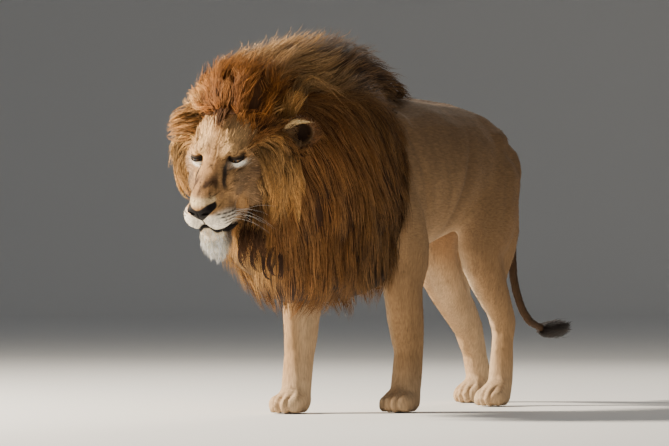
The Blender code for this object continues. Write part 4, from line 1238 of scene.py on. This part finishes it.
guesses = [from_head((side * 0.090, y, top - 0.08 * (0.158 - y)))
           for side in (1, -1)
           for row, top in enumerate((-0.123, -0.136, -0.149))
           for y in [0.158 - 0.0165 * k - 0.004 * row for k in range(1, 5)]]
roots, outward, _ = depth_in(skin_tree, np.array(guesses))
side = np.sign(in_head(roots)[:, 0])
way = columns(side * np.where(side < 0, 0.95, 0.45), -0.75, -0.10 + 0.22 * rng.normal(size=len(roots))) @ HEAD
length = (rng.uniform(0.05, 0.13, len(roots)) * np.where(side < 0, 1.0, 0.6))[:, None, None]
t = along_path(8)
path = (roots[:, None] - outward[:, None] * 0.002 + way[:, None] * length * t
        + vec(0.0, 0.25, -0.85) * length * t * t * 0.75)
width = np.tile(0.00048 * (1 - 0.85 * t[0, :, 0]), (len(roots), 1))
white = np.tile((0.85, 0.80, 0.72), (len(roots), 8, 1))
whiskers = build_locks("whiskers", path, outward, width, 1.0, white, face_uv[face_under(roots)])

# --- Eyes ---


def build_eye(side, name):
    """A ball with a bulging cornea. Its colours run in rings from the pupil."""
    bm = bmesh.new()
    bmesh.ops.create_uvsphere(bm, u_segments=48, v_segments=40, radius=1.0)
    ball = new_object(name + "_ball", mesh_of(bm, name + "_ball"))
    co = coords(ball.data)
    angle = np.degrees(np.arccos(np.clip(co[:, 2], -1, 1)))
    co = co * (EYE_R * 0.985 + 0.0012 * ramp(42, 20, angle))[:, None]
    out, up, facing = eye_axes(side, (0.10, 0.98, -0.12))
    co = co[:, :1] * out + co[:, 1:2] * up + co[:, 2:] * facing + vec(side * EYE_X, 0, 0)
    put(ball.data, from_head(co))
    spoke = 0.85 + 0.15 * np.sin(np.arctan2(co[:, 0] - side * EYE_X, co[:, 2]) * 23)
    # The iris is darkened to a dark brown, with only a faint amber ring, as painted shade under the brow.
    shaded_iris = mix((0.10, 0.06, 0.04), (0.130, 0.056, 0.014), ramp(40, 36, angle))
    rgb = layered(shaded_iris * np.where(angle < 38, spoke, 1)[:, None],
                  ((0.22, 0.110, 0.030), bump(angle, 20, 6) * 0.5),
                  (BLACK, np.maximum(ramp(15, 11, angle), bump(angle, 40, 4))))
    dress(ball, "eye", rgb, [name])
    return ball


eyes = [build_eye(1, "eye_right"), build_eye(-1, "eye_left")]

# --- Materials ---


def feed(made, inputs):
    """Gives a node's inputs their values, or links from other nodes' sockets."""
    for key, value in inputs.items():
        if isinstance(value, bpy.types.NodeSocket):
            made.id_data.links.new(value, made.inputs[key])
        else:
            made.inputs[key].default_value = value


def node(tree, kind, inputs, **settings):
    """The outputs of a new node."""
    made = tree.nodes.new("ShaderNode" + kind)
    for key, value in settings.items():
        setattr(made, key, value)
    feed(made, inputs)
    return made.outputs


def shader(name, roughness, specular):
    made = bpy.data.materials.new(name)
    made.use_nodes = True
    principled = made.node_tree.nodes["Principled BSDF"]
    feed(principled, {"Roughness": roughness, "Specular IOR Level": specular})
    return made, made.node_tree, principled


def streaks(tree, stretch, detail=3.0):
    """Noise drawn out along one axis of the object."""
    place = node(tree, "TexCoord", {})["Object"]
    scaled = node(tree, "Mapping", {"Vector": place, "Scale": stretch})["Vector"]
    return node(tree, "TexNoise", {"Vector": scaled, "Scale": 1.0, "Detail": detail})["Fac"]


def tinted(tree, low, high, noise):
    """The piece's own colour, darkened and lightened by noise."""
    limits = {"From Min": 0.3, "From Max": 0.7, "To Min": low, "To Max": high}
    spread = node(tree, "MapRange", {"Value": noise, **limits})["Result"]
    tint = node(tree, "Attribute", {}, attribute_name="coat")["Color"]
    return node(tree, "VectorMath", {0: tint, "Scale": spread}, operation="SCALE")["Vector"]


def ridges(tree, height, strength, distance):
    return node(tree, "Bump", {"Height": height, "Strength": strength, "Distance": distance})["Normal"]


def fur_skin():
    made, tree, principled = shader("short_coat", 0.75, 0.16)
    upright, bare = (node(tree, "Attribute", {}, attribute_name=n)["Fac"] for n in ("upright", "bare"))
    lengthwise, downwards = (streaks(tree, s, 5.0) for s in ((190, 34, 190), (190, 190, 34)))
    noise = node(tree, "Mix", {"Factor": upright, "A": lengthwise, "B": downwards})["Result"]
    furry = tinted(tree, 0.74, 1.20, noise)
    # Bare skin of the nose: near black, and a little glossier than the coat.
    cover = node(tree, "Mix", {"Factor": bare, "A": furry, "B": (0.008, 0.0055, 0.005, 1)}, data_type="RGBA")
    gloss = node(tree, "MapRange", {"Value": bare, "To Min": 0.78, "To Max": 0.60})
    feed(principled, {"Base Color": cover["Result"], "Roughness": gloss["Result"],
                      "Normal": ridges(tree, noise, 0.55, 0.0015)})
    return made


def hair(name, stretch, roughness, low, high, specular=0.3):
    made, tree, principled = shader(name, roughness, specular)
    noise = streaks(tree, stretch)
    feed(principled, {"Base Color": tinted(tree, low, high, noise),
                      "Normal": ridges(tree, noise, 0.25, 0.0006)})
    return made


def wear(made, *pieces):
    for piece in pieces:
        piece.data.materials.clear()
        piece.data.materials.append(made)


wear(fur_skin(), skin, ears)
tufts = [piece for piece in bpy.data.objects if piece.name.startswith("coat_")]
wear(hair("coat_hair", (300, 120, 300), 0.7, 0.82, 1.15), *tufts)
long_locks = [piece for piece in bpy.data.objects
              if piece.name.startswith("mane_") and piece.name not in frame["nodes"]]
wear(hair("long_hair", (260, 160, 90), 0.62, 0.66, 1.30, 0.14), *long_locks)
wear(hair("matted_hair", (240, 120, 40), 0.85, 0.6, 1.1), mat)
wear(hair("tuft_hair", (260, 90, 260), 0.55, 0.7, 1.2), tuft)
wear(hair("pale_hair", (260, 260, 90), 0.6, 0.85, 1.12), bpy.data.objects["beard"], whiskers)
glass, tree, principled = shader("eye_wet", 0.08, 0.6)
feed(principled, {"Base Color": tinted(tree, 0.9, 1.1, streaks(tree, (900, 900, 900)))})
wear(glass, *eyes)

# --- Studio ---

FLOOR_SIDES, FLOOR_DROP = 96, 0.0004


def build_floor():
    """A pale floor, a hair's breadth under the soles, that curves up into a wall all round."""
    profile = [(6.0, 0.0), (14.0, 0.0), (30.0, 0.0)]
    profile += [(30.0 + 6.0 * math.sin(a), 6.0 - 6.0 * math.cos(a))
                for a in np.linspace(0.1, math.pi / 2, 14)]
    profile += [(36.0, 30.0)]
    angles = np.linspace(0, 2 * math.pi, FLOOR_SIDES + 1)[:-1]
    bm = bmesh.new()
    rows = [[bm.verts.new((r * math.cos(a), r * math.sin(a), z - FLOOR_DROP)) for a in angles]
            for r, z in profile]
    hub = bm.verts.new((0, 0, -FLOOR_DROP))
    for i in range(FLOOR_SIDES):
        j = (i + 1) % FLOOR_SIDES
        bm.faces.new((hub, rows[0][i], rows[0][j]))
        for one, two in zip(rows, rows[1:]):
            bm.faces.new((one[i], two[i], two[j], one[j]))
    made = new_object("studio_floor", mesh_of(bm, "studio_floor"))
    shade_smooth(made.data)
    paper, _, principled = shader("studio_paper", 0.9, 0.2)
    feed(principled, {"Base Color": (0.80, 0.79, 0.77, 1)})
    wear(paper, made)


def lamp(name, where, target, size, power, colour):
    light = bpy.data.lights.new(name, "AREA")
    light.shape = "DISK"
    light.size = size
    light.energy = power
    light.color = colour
    set_up(new_object(name, light), where, Vector(target) - Vector(where))


def set_up(thing, where, aim):
    """Puts a lamp or camera at a place, aimed along a direction."""
    thing.location = where
    thing.rotation_euler = Vector(aim).to_track_quat("-Z", "Y").to_euler()


build_floor()
lamp("key", (-5.1, -3.6, 4.1), (0, -0.3, 0.7), 1.2, 1850, (1.0, 0.90, 0.75))
lamp("fill", (5.5, -5.0, 3.2), (0, -0.2, 0.6), 5.0, 48, (0.95, 0.97, 1.0))
lamp("rim", (-1.5, 5.0, 4.5), (0, 0.0, 0.8), 2.5, 130, (1.0, 0.92, 0.80))
world = bpy.data.worlds.new("studio")
bpy.context.scene.world = world
world.use_nodes = True
feed(world.node_tree.nodes["Background"], {0: (0.80, 0.85, 0.92, 1), 1: 0.20})

# The photo's view: from low in front and to the lion's left, with a long lens. The picture's width
# and how far left and up the camera aims are in pixels, at the scale of the lion's forelegs.
VIEW_ANGLE, EYE_HEIGHT, DISTANCE = math.radians(28.0), 0.45, 12.8
PIXELS_PER_METRE, VIEW_WIDTH, SENSOR_WIDTH = 302.0, 669, 36
AIM_LEFT, AIM_UP = 93.5, 53.0
toward = vec(math.sin(VIEW_ANGLE), -math.cos(VIEW_ANGLE), 0.0)
rightward = vec(math.cos(VIEW_ANGLE), math.sin(VIEW_ANGLE), 0.0)
origin = at(0.0, 0.0, 0.0)
eye_point = toward * (DISTANCE + (at(0.0, -0.45, 0.0) - origin) @ toward) + origin
eye_point[2] = EYE_HEIGHT + SHIFT[2]
focal = PIXELS_PER_METRE * DISTANCE
camera_data = bpy.data.cameras.new("camera")
camera_data.lens = focal * SENSOR_WIDTH / VIEW_WIDTH
camera_data.clip_end = 100
camera = new_object("camera", camera_data)
set_up(camera, eye_point, -toward * focal - rightward * AIM_LEFT + vec(0, 0, AIM_UP))
bpy.context.scene.camera = camera
